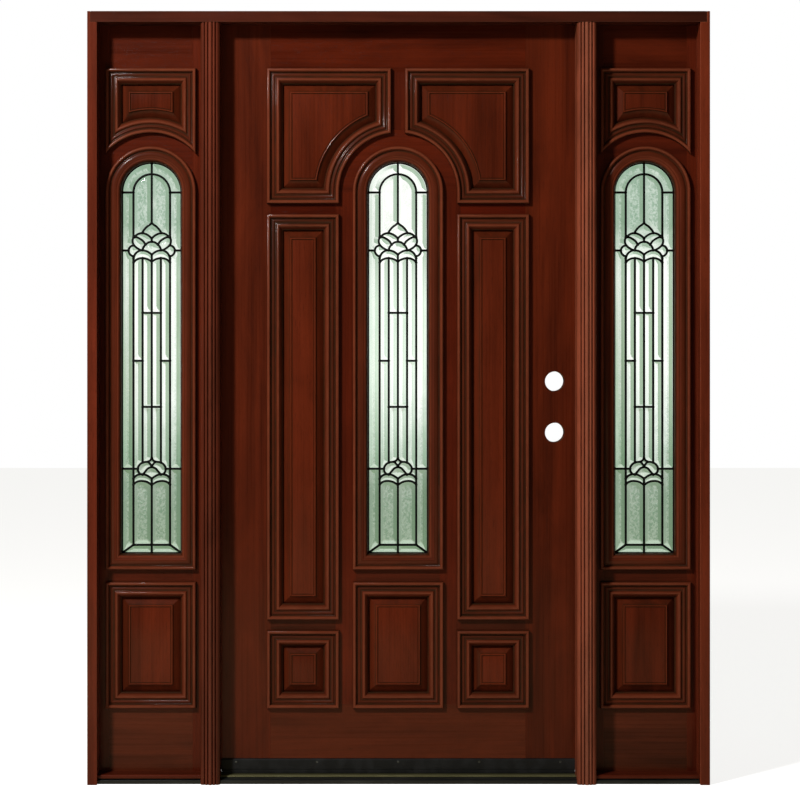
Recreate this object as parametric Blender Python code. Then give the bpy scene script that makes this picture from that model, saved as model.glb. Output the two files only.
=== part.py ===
# Mahogany entry door with two sidelights, seen from outside.
# Metres. X runs to the right, Y into the house, Z up. The origin is under the sill, at its middle.

import math

import bpy
import bmesh
from mathutils import Vector

for old in list(bpy.data.objects):
    bpy.data.objects.remove(old, do_unlink=True)

# Gap between pieces that touch
GAP = 0.0003

# Frame
JAMB_DEPTH = 0.116
JAMB_WIDTH = 0.026
HEAD_HEIGHT = 0.029
HEAD_HOUSING = 0.018
MULLION_WIDTH = 0.0525
MULLION_RELIEF = 0.0125
RABBET_STEP = 0.0093
STOP_DEPTH = 0.006
SIDELIGHT_STILE = 0.01575

# Door leaf, from its foot up and from its middle out, as seen between the mouldings
LEAF_THICK = 0.0445
LEAF_BACK_SETBACK = 0.001
LEAF_BOTTOM = 0.0285
DOOR_GAP = 0.003
BOTTOM_RAIL = 0.1675
SMALL_PANEL_HEIGHT = 0.212
CROSS_RAIL = 0.029
TALL_PANEL_HEIGHT = 1.103
UPPER_PANEL_HEIGHT = 0.368
TOP_RAIL = 0.1233
CENTRE_PANEL_HEIGHT = 0.344
CENTRE_RAIL = 0.033
SPRING_RISE = 0.032
LIGHT_HALF_WIDTH = 0.1235
MUNTIN_WIDTH = 0.0365
COLUMN_WIDTH = 0.197
STILE_WIDTH = 0.1303
TOP_MUNTIN_HALF = 0.0185

# Mouldings and panels
LIP = 0.010
MOULDING_WIDTH = 0.0425
MOULDING_PROUD = 0.0155
PANEL_REBATE = 0.012
PANEL_TONGUE = 0.009
BORDER_WIDTH = 0.029
PANEL_FIELD_PROUD = 0.004
PANEL_BEAD_PROUD = 0.006
ARCH_STEPS = 10
CORNER_STEPS = 6
CROWN_STEPS = 4

# Leaded glass
PANE_THICK = 0.005
CAME_PROUD = 0.001
CAME_WIDTH = 0.0042
CAME_LAYERS = 5
CAME_LAYER_STEP = 0.00005
LEAD_EDGE = 0.006
INNER_LEAD = 0.050
MIDDLE_LEAD = 0.025
UPPER_FAN_DROP = 0.1585
LOWER_FAN_RISE = 0.2305
LOWER_BAR_RISE = 0.0225
UPPER_TIE_DROP = 0.1705
MIDDLE_TIE_DROP = 0.3015
LOWER_TIE_RISE = 0.169
FAN_TIP_RISE = 0.0745
CRESCENT_RISE = 0.0505
CRESCENT_DIP = 0.017
HEART_DROP = 0.0225
ROOT_DROP = 0.034
FAN_STEPS = 4

# Lock bores
BORE_BACKSET = 0.0603
BORE_RADIUS = 0.027
LOWER_BORE_RISE = 0.917
BORE_SPACING = 0.1397
LATCH_RADIUS = 0.0127
BORE_SIDES = 28
LATCH_SIDES = 16

# Sill, threshold and sweep
SILL_HEIGHT = 0.014
SILL_NOSE = 0.010
SILL_FRONT_SETBACK = 0.014
SILL_SLOPE = 0.022
CAP_HEIGHT = 0.004
CAP_REACH = 0.030
STRIP_HEIGHT = 0.010
STRIP_REACH = 0.052
STRIP_ROUND = 0.004
SWEEP_TOP = 0.059
SWEEP_THICK = 0.008
SWEEP_CLEARANCE = 0.001
SEAL_WIDTH = 0.0075
SEAL_INSET = 0.001

# Hinges
HINGE_HEIGHT = 0.102
HINGE_LEAF_WIDTH = 0.034
HINGE_LEAF_THICK = 0.0025
KNUCKLE_RADIUS = 0.006
KNUCKLE_CLEARANCE = 0.0005
PIN_RADIUS = 0.003
PIN_CLEARANCE = 0.0003
KNUCKLES = 5
HINGE_SIDES = 12
HINGE_END_DISTANCE = 0.230

# Places worked out from the sizes above: depths
FRONT = -JAMB_DEPTH / 2
BACK = JAMB_DEPTH / 2
LEAF_BACK = BACK - LEAF_BACK_SETBACK
LEAF_FRONT = LEAF_BACK - LEAF_THICK
STOP_FACE = LEAF_FRONT - STOP_DEPTH

# Heights
PANEL_BOTTOM = LEAF_BOTTOM + BOTTOM_RAIL
SMALL_PANEL_TOP = PANEL_BOTTOM + SMALL_PANEL_HEIGHT
TALL_PANEL_BOTTOM = SMALL_PANEL_TOP + CROSS_RAIL
TALL_PANEL_TOP = TALL_PANEL_BOTTOM + TALL_PANEL_HEIGHT
UPPER_PANEL_BOTTOM = TALL_PANEL_TOP + CROSS_RAIL
PANEL_TOP = UPPER_PANEL_BOTTOM + UPPER_PANEL_HEIGHT
LEAF_TOP = PANEL_TOP + TOP_RAIL
CENTRE_PANEL_TOP = PANEL_BOTTOM + CENTRE_PANEL_HEIGHT
LIGHT_BOTTOM = CENTRE_PANEL_TOP + CENTRE_RAIL
SPRING = UPPER_PANEL_BOTTOM + SPRING_RISE
HEAD_RABBET = LEAF_TOP + DOOR_GAP
HEAD_BOTTOM = HEAD_RABBET - RABBET_STEP
UNIT_HEIGHT = HEAD_BOTTOM + HEAD_HEIGHT
CAP_TOP = SILL_HEIGHT + CAP_HEIGHT

# Widths
COLUMN_INNER = LIGHT_HALF_WIDTH + MUNTIN_WIDTH
COLUMN_OUTER = COLUMN_INNER + COLUMN_WIDTH
LEAF_HALF_WIDTH = COLUMN_OUTER + STILE_WIDTH
RABBET = LEAF_HALF_WIDTH + DOOR_GAP
MULLION_INNER = RABBET - RABBET_STEP
MULLION_OUTER = MULLION_INNER + MULLION_WIDTH
BAY_HALF = LIGHT_HALF_WIDTH + SIDELIGHT_STILE
BAY_CENTRE = MULLION_OUTER + BAY_HALF
JAMB_INNER = BAY_CENTRE + BAY_HALF
UNIT_HALF_WIDTH = JAMB_INNER + JAMB_WIDTH

# Light, lock bores and hinges
ARCH_RADIUS = COLUMN_INNER
GLASS_HALF = LIGHT_HALF_WIDTH - MOULDING_WIDTH
GLASS_BOTTOM = LIGHT_BOTTOM + MOULDING_WIDTH
UPPER_FAN = SPRING - UPPER_FAN_DROP
LOWER_FAN = GLASS_BOTTOM + LOWER_FAN_RISE
BORE_X = LEAF_HALF_WIDTH - BORE_BACKSET
LOWER_BORE = LEAF_BOTTOM + LOWER_BORE_RISE
HINGE_X = -(LEAF_HALF_WIDTH + RABBET) / 2
HINGE_Y = BACK + KNUCKLE_RADIUS + KNUCKLE_CLEARANCE
PIVOT = Vector((HINGE_X, HINGE_Y, 0.0))
HINGE_CENTRES = (
    LEAF_BOTTOM + HINGE_END_DISTANCE,
    (LEAF_BOTTOM + LEAF_TOP) / 2,
    LEAF_TOP - HINGE_END_DISTANCE,
)

pivot = bpy.data.objects.new("door_pivot", None)
pivot.location = PIVOT
bpy.context.collection.objects.link(pivot)


# Materials

def finish(name, colour, roughness, metallic=0.0, alpha=1.0):
    material = bpy.data.materials.new(name)
    material.use_nodes = True
    shader = material.node_tree.nodes["Principled BSDF"]
    shader.inputs["Base Color"].default_value = (*colour, 1.0)
    shader.inputs["Roughness"].default_value = roughness
    shader.inputs["Metallic"].default_value = metallic
    shader.inputs["Alpha"].default_value = alpha
    return material


FINISHES = {
    "mahogany": ((0.085, 0.017, 0.007), 0.35, 0.0, 1.0),
    "mahogany_panel": ((0.10, 0.020, 0.008), 0.35, 0.0, 1.0),
    "mahogany_moulding": ((0.11, 0.024, 0.010), 0.30, 0.0, 1.0),
    "mahogany_frame": ((0.07, 0.018, 0.009), 0.40, 0.0, 1.0),
    "leaded_glass": ((0.62, 0.72, 0.60), 0.15, 0.0, 0.6),
    "dark_bronze": ((0.020, 0.019, 0.018), 0.45, 0.8, 1.0),
    "threshold_brass": ((0.20, 0.15, 0.08), 0.40, 1.0, 1.0),
    "sweep_vinyl": ((0.012, 0.012, 0.013), 0.55, 0.0, 1.0),
    "seal_rubber": ((0.030, 0.035, 0.030), 0.70, 0.0, 1.0),
    "hinge_bronze": ((0.14, 0.09, 0.05), 0.35, 1.0, 1.0),
}


# Mesh tools

def add_object(name, mesh_data, look, moving=False, smooth=False):
    """Link a mesh as a named piece, on the hinge axis if it moves with the door."""
    bmesh.ops.remove_doubles(mesh_data, verts=mesh_data.verts, dist=1e-6)
    bmesh.ops.recalc_face_normals(mesh_data, faces=mesh_data.faces)
    mesh = bpy.data.meshes.new(name)
    if moving:
        bmesh.ops.translate(mesh_data, verts=mesh_data.verts, vec=-PIVOT)
    mesh_data.to_mesh(mesh)
    mesh_data.free()
    piece = bpy.data.objects.new(name, mesh)
    bpy.context.collection.objects.link(piece)
    if moving:
        piece.parent = pivot
    if smooth:
        mesh.shade_smooth()
        mesh.set_sharp_from_angle(angle=math.radians(35))
    if look:
        colour, roughness, metallic, alpha = FINISHES[look]
        mesh.materials.append(finish(name, colour, roughness, metallic, alpha))
    return piece


def loft(loops, closed):
    """A skin through loops of points. Closed joins last to first; otherwise both ends are capped."""
    mesh_data = bmesh.new()
    rows = [[mesh_data.verts.new(point) for point in loop] for loop in loops]
    count = len(rows[0])
    spans = len(rows) if closed else len(rows) - 1
    for index in range(spans):
        this_row = rows[index]
        next_row = rows[(index + 1) % len(rows)]
        for step in range(count):
            after = (step + 1) % count
            mesh_data.faces.new((this_row[step], this_row[after], next_row[after], next_row[step]))
    if not closed:
        mesh_data.faces.new(rows[0])
        mesh_data.faces.new(rows[-1])
    return mesh_data


def upright(outline, front, back):
    """An XZ outline given thickness along Y."""
    loops = [[(x, y, z) for x, z in outline] for y in (front, back)]
    return loft(loops, closed=False)


def standing(outline, bottom, top):
    """An XY outline given height along Z."""
    loops = [[(x, y, z) for x, y in outline] for z in (bottom, top)]
    return loft(loops, closed=False)


def lengthwise(outline, left, right):
    """A YZ outline run along X."""
    loops = [[(x, y, z) for y, z in outline] for x in (left, right)]
    return loft(loops, closed=False)


def box(low, high):
    return standing(box_outline(low[0], high[0], low[1], high[1]), low[2], high[2])


def box_outline(u0, u1, v0, v1):
    return [(u0, v0), (u1, v0), (u1, v1), (u0, v1)]


def circle(centre, radius, sides):
    turns = [2 * math.pi * (step + 0.5) / sides for step in range(sides)]
    return [(centre[0] + radius * math.cos(turn), centre[1] + radius * math.sin(turn)) for turn in turns]


def arc(centre, radius, start, end, steps):
    turns = [start + (end - start) * step / steps for step in range(steps + 1)]
    return [(centre[0] + radius * math.cos(turn), centre[1] + radius * math.sin(turn)) for turn in turns]


def cut(piece, mesh_data, name, moving=False, operation="DIFFERENCE", use_self=False):
    """Take a hidden shape away from a piece, or join one to it."""
    cutter = add_object(name, mesh_data, None, moving)
    cutter.hide_render = True
    cutter.display_type = "WIRE"
    modifier = piece.modifiers.new(name, "BOOLEAN")
    modifier.operation = operation
    modifier.solver = "EXACT"
    modifier.use_self = use_self
    modifier.object = cutter


# Frame: side jambs with a housing for the head, and the head with the rabbet of the door

for side, name in ((-1, "left"), (1, "right")):
    housing = JAMB_INNER + HEAD_HOUSING
    outline = [
        (JAMB_INNER, 0.0),
        (UNIT_HALF_WIDTH, 0.0),
        (UNIT_HALF_WIDTH, UNIT_HEIGHT),
        (housing, UNIT_HEIGHT),
        (housing, HEAD_BOTTOM - GAP),
        (JAMB_INNER, HEAD_BOTTOM - GAP),
    ]
    outline = [(side * x, z) for x, z in outline]
    add_object(name + "_side_jamb", upright(outline, FRONT, BACK), "mahogany_frame")

head_half = JAMB_INNER + HEAD_HOUSING - GAP
head = add_object(
    "head_jamb",
    box((-head_half, FRONT, HEAD_BOTTOM), (head_half, BACK, UNIT_HEIGHT)),
    "mahogany_frame",
)
cut(
    head,
    box((-RABBET, STOP_FACE, HEAD_BOTTOM - LIP), (RABBET, BACK + LIP, HEAD_RABBET)),
    "head_rabbet_cutter",
)


# Mullions: a plain post, and a wider reeded face planted on its front, whose edge is the door's stop

def mullion_front():
    """Half of the reeded front, from its edge to the middle: distance across and depth behind the front."""
    half = MULLION_WIDTH / 2
    relief = MULLION_RELIEF
    return [
        (-half, relief),
        (-half * 0.93, relief * 0.60),
        (-half * 0.80, relief * 0.36),
        (-half * 0.62, relief * 0.30),
        (-half * 0.56, relief * 0.55),
        (-half * 0.50, relief * 0.26),
        (-half * 0.36, relief * 0.12),
        (-half * 0.26, relief * 0.26),
        (-half * 0.22, relief * 0.50),
        (-half * 0.17, relief * 0.16),
        (-half * 0.07, 0.0),
    ]


def sill_outline(grow):
    """YZ section of the sill: a nose, a slope and a flat top."""
    nose = FRONT + SILL_FRONT_SETBACK
    return [
        (nose - grow, -grow),
        (BACK + grow, -grow),
        (BACK + grow, SILL_HEIGHT - GAP + grow),
        (nose + SILL_SLOPE, SILL_HEIGHT - GAP + grow),
        (nose - grow, SILL_NOSE + grow),
    ]


def mullion_face_section(side):
    """XY section of a reeded face, from its rounds back to the post."""
    middle = (MULLION_INNER + MULLION_OUTER) / 2
    half_front = mullion_front()
    across = half_front + [(-x, depth) for x, depth in reversed(half_front)]
    section = [(middle + x, FRONT + depth) for x, depth in across]
    section += [(MULLION_OUTER, STOP_FACE), (MULLION_INNER, STOP_FACE)]
    return [(side * x, y) for x, y in section]


posts = {}
mullion_top = HEAD_BOTTOM - GAP
for side, name in ((-1, "left"), (1, "right")):
    inner, outer = sorted((side * RABBET, side * MULLION_OUTER))
    posts[side] = add_object(
        name + "_mullion_post",
        box((inner, STOP_FACE + GAP, SILL_HEIGHT), (outer, BACK, mullion_top)),
        "mahogany_frame",
    )
    face = add_object(
        name + "_mullion_reeded_face",
        standing(mullion_face_section(side), 0.0, mullion_top),
        "mahogany_frame",
        smooth=True,
    )
    ends = sorted((side * (MULLION_INNER - LIP), side * (MULLION_OUTER + LIP)))
    cut(face, lengthwise(sill_outline(GAP), ends[0], ends[1]), name + "_sill_notch_cutter")


# Sill, and the threshold cap on it under the door

add_object(
    "sill",
    lengthwise(sill_outline(0.0), -(JAMB_INNER - GAP), JAMB_INNER - GAP),
    "dark_bronze",
)

cap_front = LEAF_FRONT - CAP_REACH
cap_outline = [
    (cap_front, SILL_HEIGHT),
    (LEAF_BACK, SILL_HEIGHT),
    (LEAF_BACK, CAP_TOP),
    (cap_front + CAP_HEIGHT / 2, CAP_TOP),
    (cap_front, CAP_TOP - CAP_HEIGHT / 2),
]
cap_half = MULLION_INNER - GAP
add_object("threshold_cap", lengthwise(cap_outline, -cap_half, cap_half), "threshold_brass")


# Weatherstrip: a strip up each stop and across the head, in one piece

seal_inner = MULLION_INNER + SEAL_INSET
seal_outer = seal_inner + SEAL_WIDTH
seal_head = HEAD_BOTTOM + SEAL_INSET
seal_outline = [
    (-seal_outer, SILL_HEIGHT + GAP),
    (-seal_inner, SILL_HEIGHT + GAP),
    (-seal_inner, seal_head),
    (seal_inner, seal_head),
    (seal_inner, SILL_HEIGHT + GAP),
    (seal_outer, SILL_HEIGHT + GAP),
    (seal_outer, seal_head + SEAL_WIDTH),
    (-seal_outer, seal_head + SEAL_WIDTH),
]
add_object(
    "weatherstrip",
    upright(seal_outline, STOP_FACE + GAP, LEAF_FRONT - GAP),
    "seal_rubber",
)


# Outlines of the mouldings and panels: each gives its points at a distance in from its outer edge

def rectangle(left, right, bottom, top):
    def at(inset):
        return box_outline(left + inset, right - inset, bottom + inset, top - inset)
    return at


def arched(middle, half, bottom):
    """A round-headed light."""
    def at(inset):
        radius = half - inset
        head_arc = arc((middle, SPRING), radius, 0.0, math.pi, ARCH_STEPS)
        return [(middle - radius, bottom + inset), (middle + radius, bottom + inset)] + head_arc
    return at


def shouldered(side):
    """An upper panel, whose lower inner corner is hollowed round the arch."""
    def at(inset):
        radius = ARCH_RADIUS + inset
        inner = TOP_MUNTIN_HALF + inset
        bottom = UPPER_PANEL_BOTTOM + inset
        start = math.acos(inner / radius)
        end = math.asin(max(0.0, bottom - SPRING) / radius)
        hollow = arc((0.0, SPRING), radius, start, end, CORNER_STEPS)
        rest = [
            (hollow[-1][0], bottom),
            (COLUMN_OUTER - inset, bottom),
            (COLUMN_OUTER - inset, PANEL_TOP - inset),
            (inner, PANEL_TOP - inset),
        ]
        return [(side * x, z) for x, z in hollow + rest]
    return at


def arc_footed(middle):
    """A sidelight's top panel, hollowed below round the arch."""
    def at(inset):
        radius = ARCH_RADIUS + inset
        half = LIGHT_HALF_WIDTH - inset
        reach = math.acos(half / radius)
        foot = arc((middle, SPRING), radius, math.pi - reach, reach, CORNER_STEPS)
        return foot + [(middle + half, PANEL_TOP - inset), (middle - half, PANEL_TOP - inset)]
    return at


# Mouldings and raised panels

def outer_profile(glazed):
    """Front of a moulding: distance in from its outer edge, and height above the stiles."""
    proud = MOULDING_PROUD
    width = MOULDING_WIDTH
    edge_and_bead = [(0.0, proud * 0.62), (width * 0.06, proud * 0.93), (width * 0.15, proud)]
    if glazed:
        reeds = [
            (width * 0.26, proud * 0.78),
            (width * 0.37, proud * 0.52),
            (width * 0.50, proud * 0.68),
            (width * 0.62, proud * 0.48),
            (width * 0.75, proud * 0.54),
            (width * 0.88, proud * 0.25),
            (width, -proud * 0.30),
        ]
    else:
        reeds = [
            (width * 0.24, proud * 0.80),
            (width * 0.28, proud * 0.54),
            (width * 0.42, proud * 0.48),
            (width * 0.55, proud * 0.68),
            (width * 0.70, proud * 0.66),
            (width * 0.84, proud * 0.38),
            (width * 0.91, 0.0),
            (width, -proud * 0.16),
        ]
    return edge_and_bead + reeds


def inner_profile():
    """Back of a moulding, plainer than the front."""
    proud = MOULDING_PROUD
    width = MOULDING_WIDTH
    return [
        (width, -proud * 0.16),
        (width * 0.84, proud * 0.38),
        (width * 0.45, proud * 0.50),
        (width * 0.15, proud),
        (0.0, proud * 0.62),
    ]


def moulding_section(glazed):
    """Section of a moulding as (inset, depth behind the leaf's front), with lips and a groove."""
    hold = (LEAF_THICK - PANE_THICK) / 2 if glazed else PANEL_REBATE
    thick = LEAF_THICK
    floor = MOULDING_WIDTH - PANEL_TONGUE
    front = [(inset, -height) for inset, height in outer_profile(glazed)]
    back = [(inset, thick + height) for inset, height in inner_profile()]
    groove = [
        (MOULDING_WIDTH, hold - GAP),
        (floor, hold - GAP),
        (floor, thick - hold + GAP),
        (MOULDING_WIDTH, thick - hold + GAP),
    ]
    rebate = [
        (0.0, thick + GAP),
        (LIP + GAP, thick + GAP),
        (LIP + GAP, -GAP),
        (0.0, -GAP),
    ]
    return front + groove + back + rebate


def panel_section():
    """Section of a raised panel from the middle of its front to the middle of its back."""
    sight = MOULDING_WIDTH
    field = sight + BORDER_WIDTH
    tongue = sight - PANEL_TONGUE + GAP
    slope_start = sight + BORDER_WIDTH * 0.05
    slope_end = sight + BORDER_WIDTH * 0.72
    back = LEAF_THICK
    return [
        (field, -PANEL_FIELD_PROUD),
        (sight + BORDER_WIDTH * 0.90, -PANEL_BEAD_PROUD * 0.85),
        (sight + BORDER_WIDTH * 0.82, -PANEL_BEAD_PROUD),
        (slope_end, -PANEL_BEAD_PROUD * 0.87),
        (slope_end - GAP, -PANEL_BEAD_PROUD / 2),
        (slope_start, PANEL_REBATE * 0.8),
        (slope_start, PANEL_REBATE),
        (tongue, PANEL_REBATE),
        (tongue, back - PANEL_REBATE),
        (slope_start, back - PANEL_REBATE),
        (slope_end, back + PANEL_BEAD_PROUD / 2),
        (field, back + PANEL_FIELD_PROUD),
    ]


def run_round(outline, section, closed):
    """Carry a section of (inset, depth) round an outline."""
    loops = []
    for inset, depth in section:
        loops.append([(x, LEAF_FRONT + depth, z) for x, z in outline(inset)])
    return loft(loops, closed)


def add_moulding(name, outline, moving, glazed=False):
    mesh_data = run_round(outline, moulding_section(glazed), closed=True)
    add_object(name, mesh_data, "mahogany_moulding", moving, smooth=True)


def add_panel(name, outline, moving):
    mesh_data = run_round(outline, panel_section(), closed=False)
    add_object(name, mesh_data, "mahogany_panel", moving)


# Leaded glass: a pane with lead cames on its front

def arc_through(first, over, last):
    """Points of the arc from first to last that passes through over."""
    ax, az = first
    bx, bz = over
    cx, cz = last
    twice = 2 * (ax * (bz - cz) + bx * (cz - az) + cx * (az - bz))
    a2, b2, c2 = ax * ax + az * az, bx * bx + bz * bz, cx * cx + cz * cz
    ux = (a2 * (bz - cz) + b2 * (cz - az) + c2 * (az - bz)) / twice
    uz = (a2 * (cx - bx) + b2 * (ax - cx) + c2 * (bx - ax)) / twice
    start = math.atan2(az - uz, ax - ux)
    middle = math.atan2(bz - uz, bx - ux)
    end = math.atan2(cz - uz, cx - ux)
    full = 2 * math.pi
    forward = (end - start) % full
    if (middle - start) % full > forward:
        forward -= full
    return arc((ux, uz), math.hypot(ax - ux, az - uz), start, start + forward, FAN_STEPS)


def came_lines():
    """The lead lines of one light, measured from its middle: each a list of (x, z)."""
    margin = CAME_WIDTH * 0.75 + GAP
    foot = GLASS_BOTTOM + margin
    edge = GLASS_HALF - margin
    bar = GLASS_BOTTOM + LOWER_BAR_RISE
    tip = UPPER_FAN + FAN_TIP_RISE
    shoulder = UPPER_FAN + CRESCENT_RISE
    heart = UPPER_FAN - HEART_DROP
    root = LOWER_FAN - ROOT_DROP
    inner_arch = arc((0.0, SPRING), INNER_LEAD, 0.0, math.pi, ARCH_STEPS)
    lines = [
        [(0.0, SPRING + edge), (0.0, tip)],
        [(0.0, heart), (0.0, LOWER_FAN + MIDDLE_LEAD)],
        [(0.0, root), (0.0, foot)],
        [(INNER_LEAD, bar)] + inner_arch + [(-INNER_LEAD, bar)],
        [(-INNER_LEAD, bar), (INNER_LEAD, bar)],
        [(-MIDDLE_LEAD, shoulder), (0.0, tip), (MIDDLE_LEAD, shoulder)],
    ]
    for tie in (UPPER_FAN - UPPER_TIE_DROP, LOWER_FAN + LOWER_TIE_RISE):
        lines.append([(-MIDDLE_LEAD, tie), (MIDDLE_LEAD, tie)])
    middle_tie = UPPER_FAN - MIDDLE_TIE_DROP
    for side in (-1, 1):
        far = side * edge
        inner = side * INNER_LEAD
        middle = side * MIDDLE_LEAD
        for height in (SPRING, UPPER_FAN, LOWER_FAN):
            lines.append([(inner, height), (far, height)])
        lines.append([(middle, middle_tie), (inner, middle_tie)])
        lines.append([(inner, bar), (far, foot)])
        lines.append([(middle, UPPER_FAN), (middle, LOWER_FAN - CRESCENT_DIP)])
        for crest, dip in ((shoulder, tip - shoulder), (UPPER_FAN, HEART_DROP)):
            lines.append(
                arc_through((inner, crest - CRESCENT_DIP), (middle, crest), (0.0, crest - dip))
            )
        crest = LOWER_FAN - CRESCENT_DIP
        lines.append(arc_through((inner, crest - HEART_DROP), (middle, crest), (0.0, root)))
    upper_petal = ((-MIDDLE_LEAD, UPPER_FAN), (0.0, UPPER_FAN + HEART_DROP), (MIDDLE_LEAD, UPPER_FAN))
    crest = LOWER_FAN - CRESCENT_DIP
    lower_petal = ((-MIDDLE_LEAD, crest), (0.0, LOWER_FAN), (MIDDLE_LEAD, crest))
    return lines + [arc_through(*upper_petal), arc_through(*lower_petal)]


def came_strip(line, middle, proud):
    """A flat lead strip along a line of points, from inside the pane to proud of its front."""
    half = CAME_WIDTH / 2
    points = [Vector(point) for point in line]
    left, right = [], []
    for index, point in enumerate(points):
        before = points[max(index - 1, 0)]
        after = points[min(index + 1, len(points) - 1)]
        into = (point - before) if index > 0 else (after - point)
        out = (after - point) if index < len(points) - 1 else (point - before)
        into.normalize()
        out.normalize()
        along = (into + out).normalized()
        across = Vector((-along.y, along.x)) * half / max(along.dot(into), 0.3)
        start_stretch = -along * half if index == 0 else Vector((0.0, 0.0))
        end_stretch = along * half if index == len(points) - 1 else Vector((0.0, 0.0))
        centre = point + start_stretch + end_stretch
        left.append(centre + across)
        right.append(centre - across)
    outline = [(middle + point.x, point.y) for point in left + right[::-1]]
    plane = LEAF_FRONT + LEAF_THICK / 2
    return upright(outline, plane - PANE_THICK / 2 - proud, plane)


def add_leaded_glass(name, middle, moving):
    ring = arched(middle, LIGHT_HALF_WIDTH, LIGHT_BOTTOM)
    outline = ring(MOULDING_WIDTH - LEAD_EDGE)
    plane = LEAF_FRONT + LEAF_THICK / 2
    pane = add_object(
        name,
        upright(outline, plane - PANE_THICK / 2, plane + PANE_THICK / 2),
        "leaded_glass",
        moving,
    )
    cames = bmesh.new()
    for index, line in enumerate(came_lines()):
        proud = CAME_PROUD + (index % CAME_LAYERS) * CAME_LAYER_STEP
        strip = came_strip(line, middle, proud)
        bmesh.ops.recalc_face_normals(strip, faces=strip.faces)
        part = bpy.data.meshes.new("came")
        strip.to_mesh(part)
        strip.free()
        cames.from_mesh(part)
        bpy.data.meshes.remove(part)
    cut(pane, cames, name + "_came_guide", moving, operation="UNION", use_self=True)


# Door leaf: stiles, rails and muntins, with mouldings laid over their edges

def frame_member(name, left, right, bottom, top, moving=True):
    outline = box_outline(left, right, bottom, top)
    return add_object(name, upright(outline, LEAF_FRONT, LEAF_BACK), "mahogany", moving)


stile_inner = COLUMN_OUTER - LIP
muntin_inner = LIGHT_HALF_WIDTH - LIP
muntin_outer = COLUMN_INNER + LIP
bottom_rail_top = PANEL_BOTTOM + LIP
top_rail_bottom = PANEL_TOP - LIP
arch_outer = ARCH_RADIUS + LIP

hinge_stile = frame_member("hinge_stile", -LEAF_HALF_WIDTH, -stile_inner, LEAF_BOTTOM, LEAF_TOP)
lock_stile = frame_member("lock_stile", stile_inner, LEAF_HALF_WIDTH, LEAF_BOTTOM, LEAF_TOP)
rail_end = stile_inner - GAP
frame_member("top_rail", -rail_end, rail_end, top_rail_bottom, LEAF_TOP)
frame_member("bottom_rail", -rail_end, rail_end, LEAF_BOTTOM, bottom_rail_top)
centre_end = muntin_inner - GAP
frame_member(
    "centre_lower_cross_rail",
    -centre_end,
    centre_end,
    CENTRE_PANEL_TOP - LIP,
    LIGHT_BOTTOM + LIP,
)

# The arch's back follows the hollows of the upper mouldings, and the top muntin stands on its crown
top_muntin_half = TOP_MUNTIN_HALF + LIP
right_hollow = shouldered(1)(LIP)[: CORNER_STEPS + 1]
crown_turn = math.acos(top_muntin_half / arch_outer)
crown = arc((0.0, SPRING), arch_outer, crown_turn, math.pi - crown_turn, CROWN_STEPS)
arch_outline = right_hollow[:0:-1] + crown + [(-x, z) for x, z in right_hollow[1:]]
arch_outline += arc((0.0, SPRING), muntin_inner, math.pi, 0.0, ARCH_STEPS)
add_object("arch_rail", upright(arch_outline, LEAF_FRONT, LEAF_BACK), "mahogany", moving=True)

seat_turn = math.acos(top_muntin_half / (arch_outer + GAP))
muntin_foot = arc((0.0, SPRING), arch_outer + GAP, math.pi - seat_turn, seat_turn, CROWN_STEPS)
muntin_outline = muntin_foot + [
    (top_muntin_half, top_rail_bottom - GAP),
    (-top_muntin_half, top_rail_bottom - GAP),
]
add_object("top_muntin", upright(muntin_outline, LEAF_FRONT, LEAF_BACK), "mahogany", moving=True)

for side, name in ((-1, "left"), (1, "right")):
    inner, outer = sorted((side * muntin_inner, side * muntin_outer))
    frame_member(name + "_muntin", inner, outer, bottom_rail_top + GAP, SPRING - GAP)
    inner, outer = sorted((side * (muntin_outer + GAP), side * (stile_inner - GAP)))
    frame_member(
        name + "_upper_cross_rail", inner, outer, TALL_PANEL_TOP - LIP, UPPER_PANEL_BOTTOM + LIP
    )
    frame_member(
        name + "_lower_cross_rail", inner, outer, SMALL_PANEL_TOP - LIP, TALL_PANEL_BOTTOM + LIP
    )

# Lock bores through the stile, each with a latch bore from the stile's edge
for index, height in enumerate((LOWER_BORE, LOWER_BORE + BORE_SPACING)):
    bore = upright(circle((BORE_X, height), BORE_RADIUS, BORE_SIDES), LEAF_FRONT - LIP, LEAF_BACK + LIP)
    cut(lock_stile, bore, f"lock_bore_cutter_{index + 1}", moving=True)
    leaf_middle = (LEAF_FRONT + LEAF_BACK) / 2
    latch_outline = circle((leaf_middle, height), LATCH_RADIUS, LATCH_SIDES)
    latch = lengthwise(latch_outline, BORE_X, LEAF_HALF_WIDTH + LIP)
    cut(lock_stile, latch, f"latch_bore_cutter_{index + 1}", moving=True)

# Panels and mouldings of the door
door_panels = {
    "centre_bottom": rectangle(-LIGHT_HALF_WIDTH, LIGHT_HALF_WIDTH, PANEL_BOTTOM, CENTRE_PANEL_TOP),
}
for side, name in ((-1, "left"), (1, "right")):
    column = sorted((side * COLUMN_INNER, side * COLUMN_OUTER))
    door_panels[name + "_upper"] = shouldered(side)
    door_panels[name + "_tall"] = rectangle(*column, TALL_PANEL_BOTTOM, TALL_PANEL_TOP)
    door_panels[name + "_small"] = rectangle(*column, PANEL_BOTTOM, SMALL_PANEL_TOP)
for name, outline in door_panels.items():
    add_moulding(name + "_moulding", outline, moving=True)
    add_panel(name + "_panel", outline, moving=True)

door_light = arched(0.0, LIGHT_HALF_WIDTH, LIGHT_BOTTOM)
add_moulding("door_glass_moulding", door_light, moving=True, glazed=True)
add_leaded_glass("door_leaded_glass", 0.0, moving=True)

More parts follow.
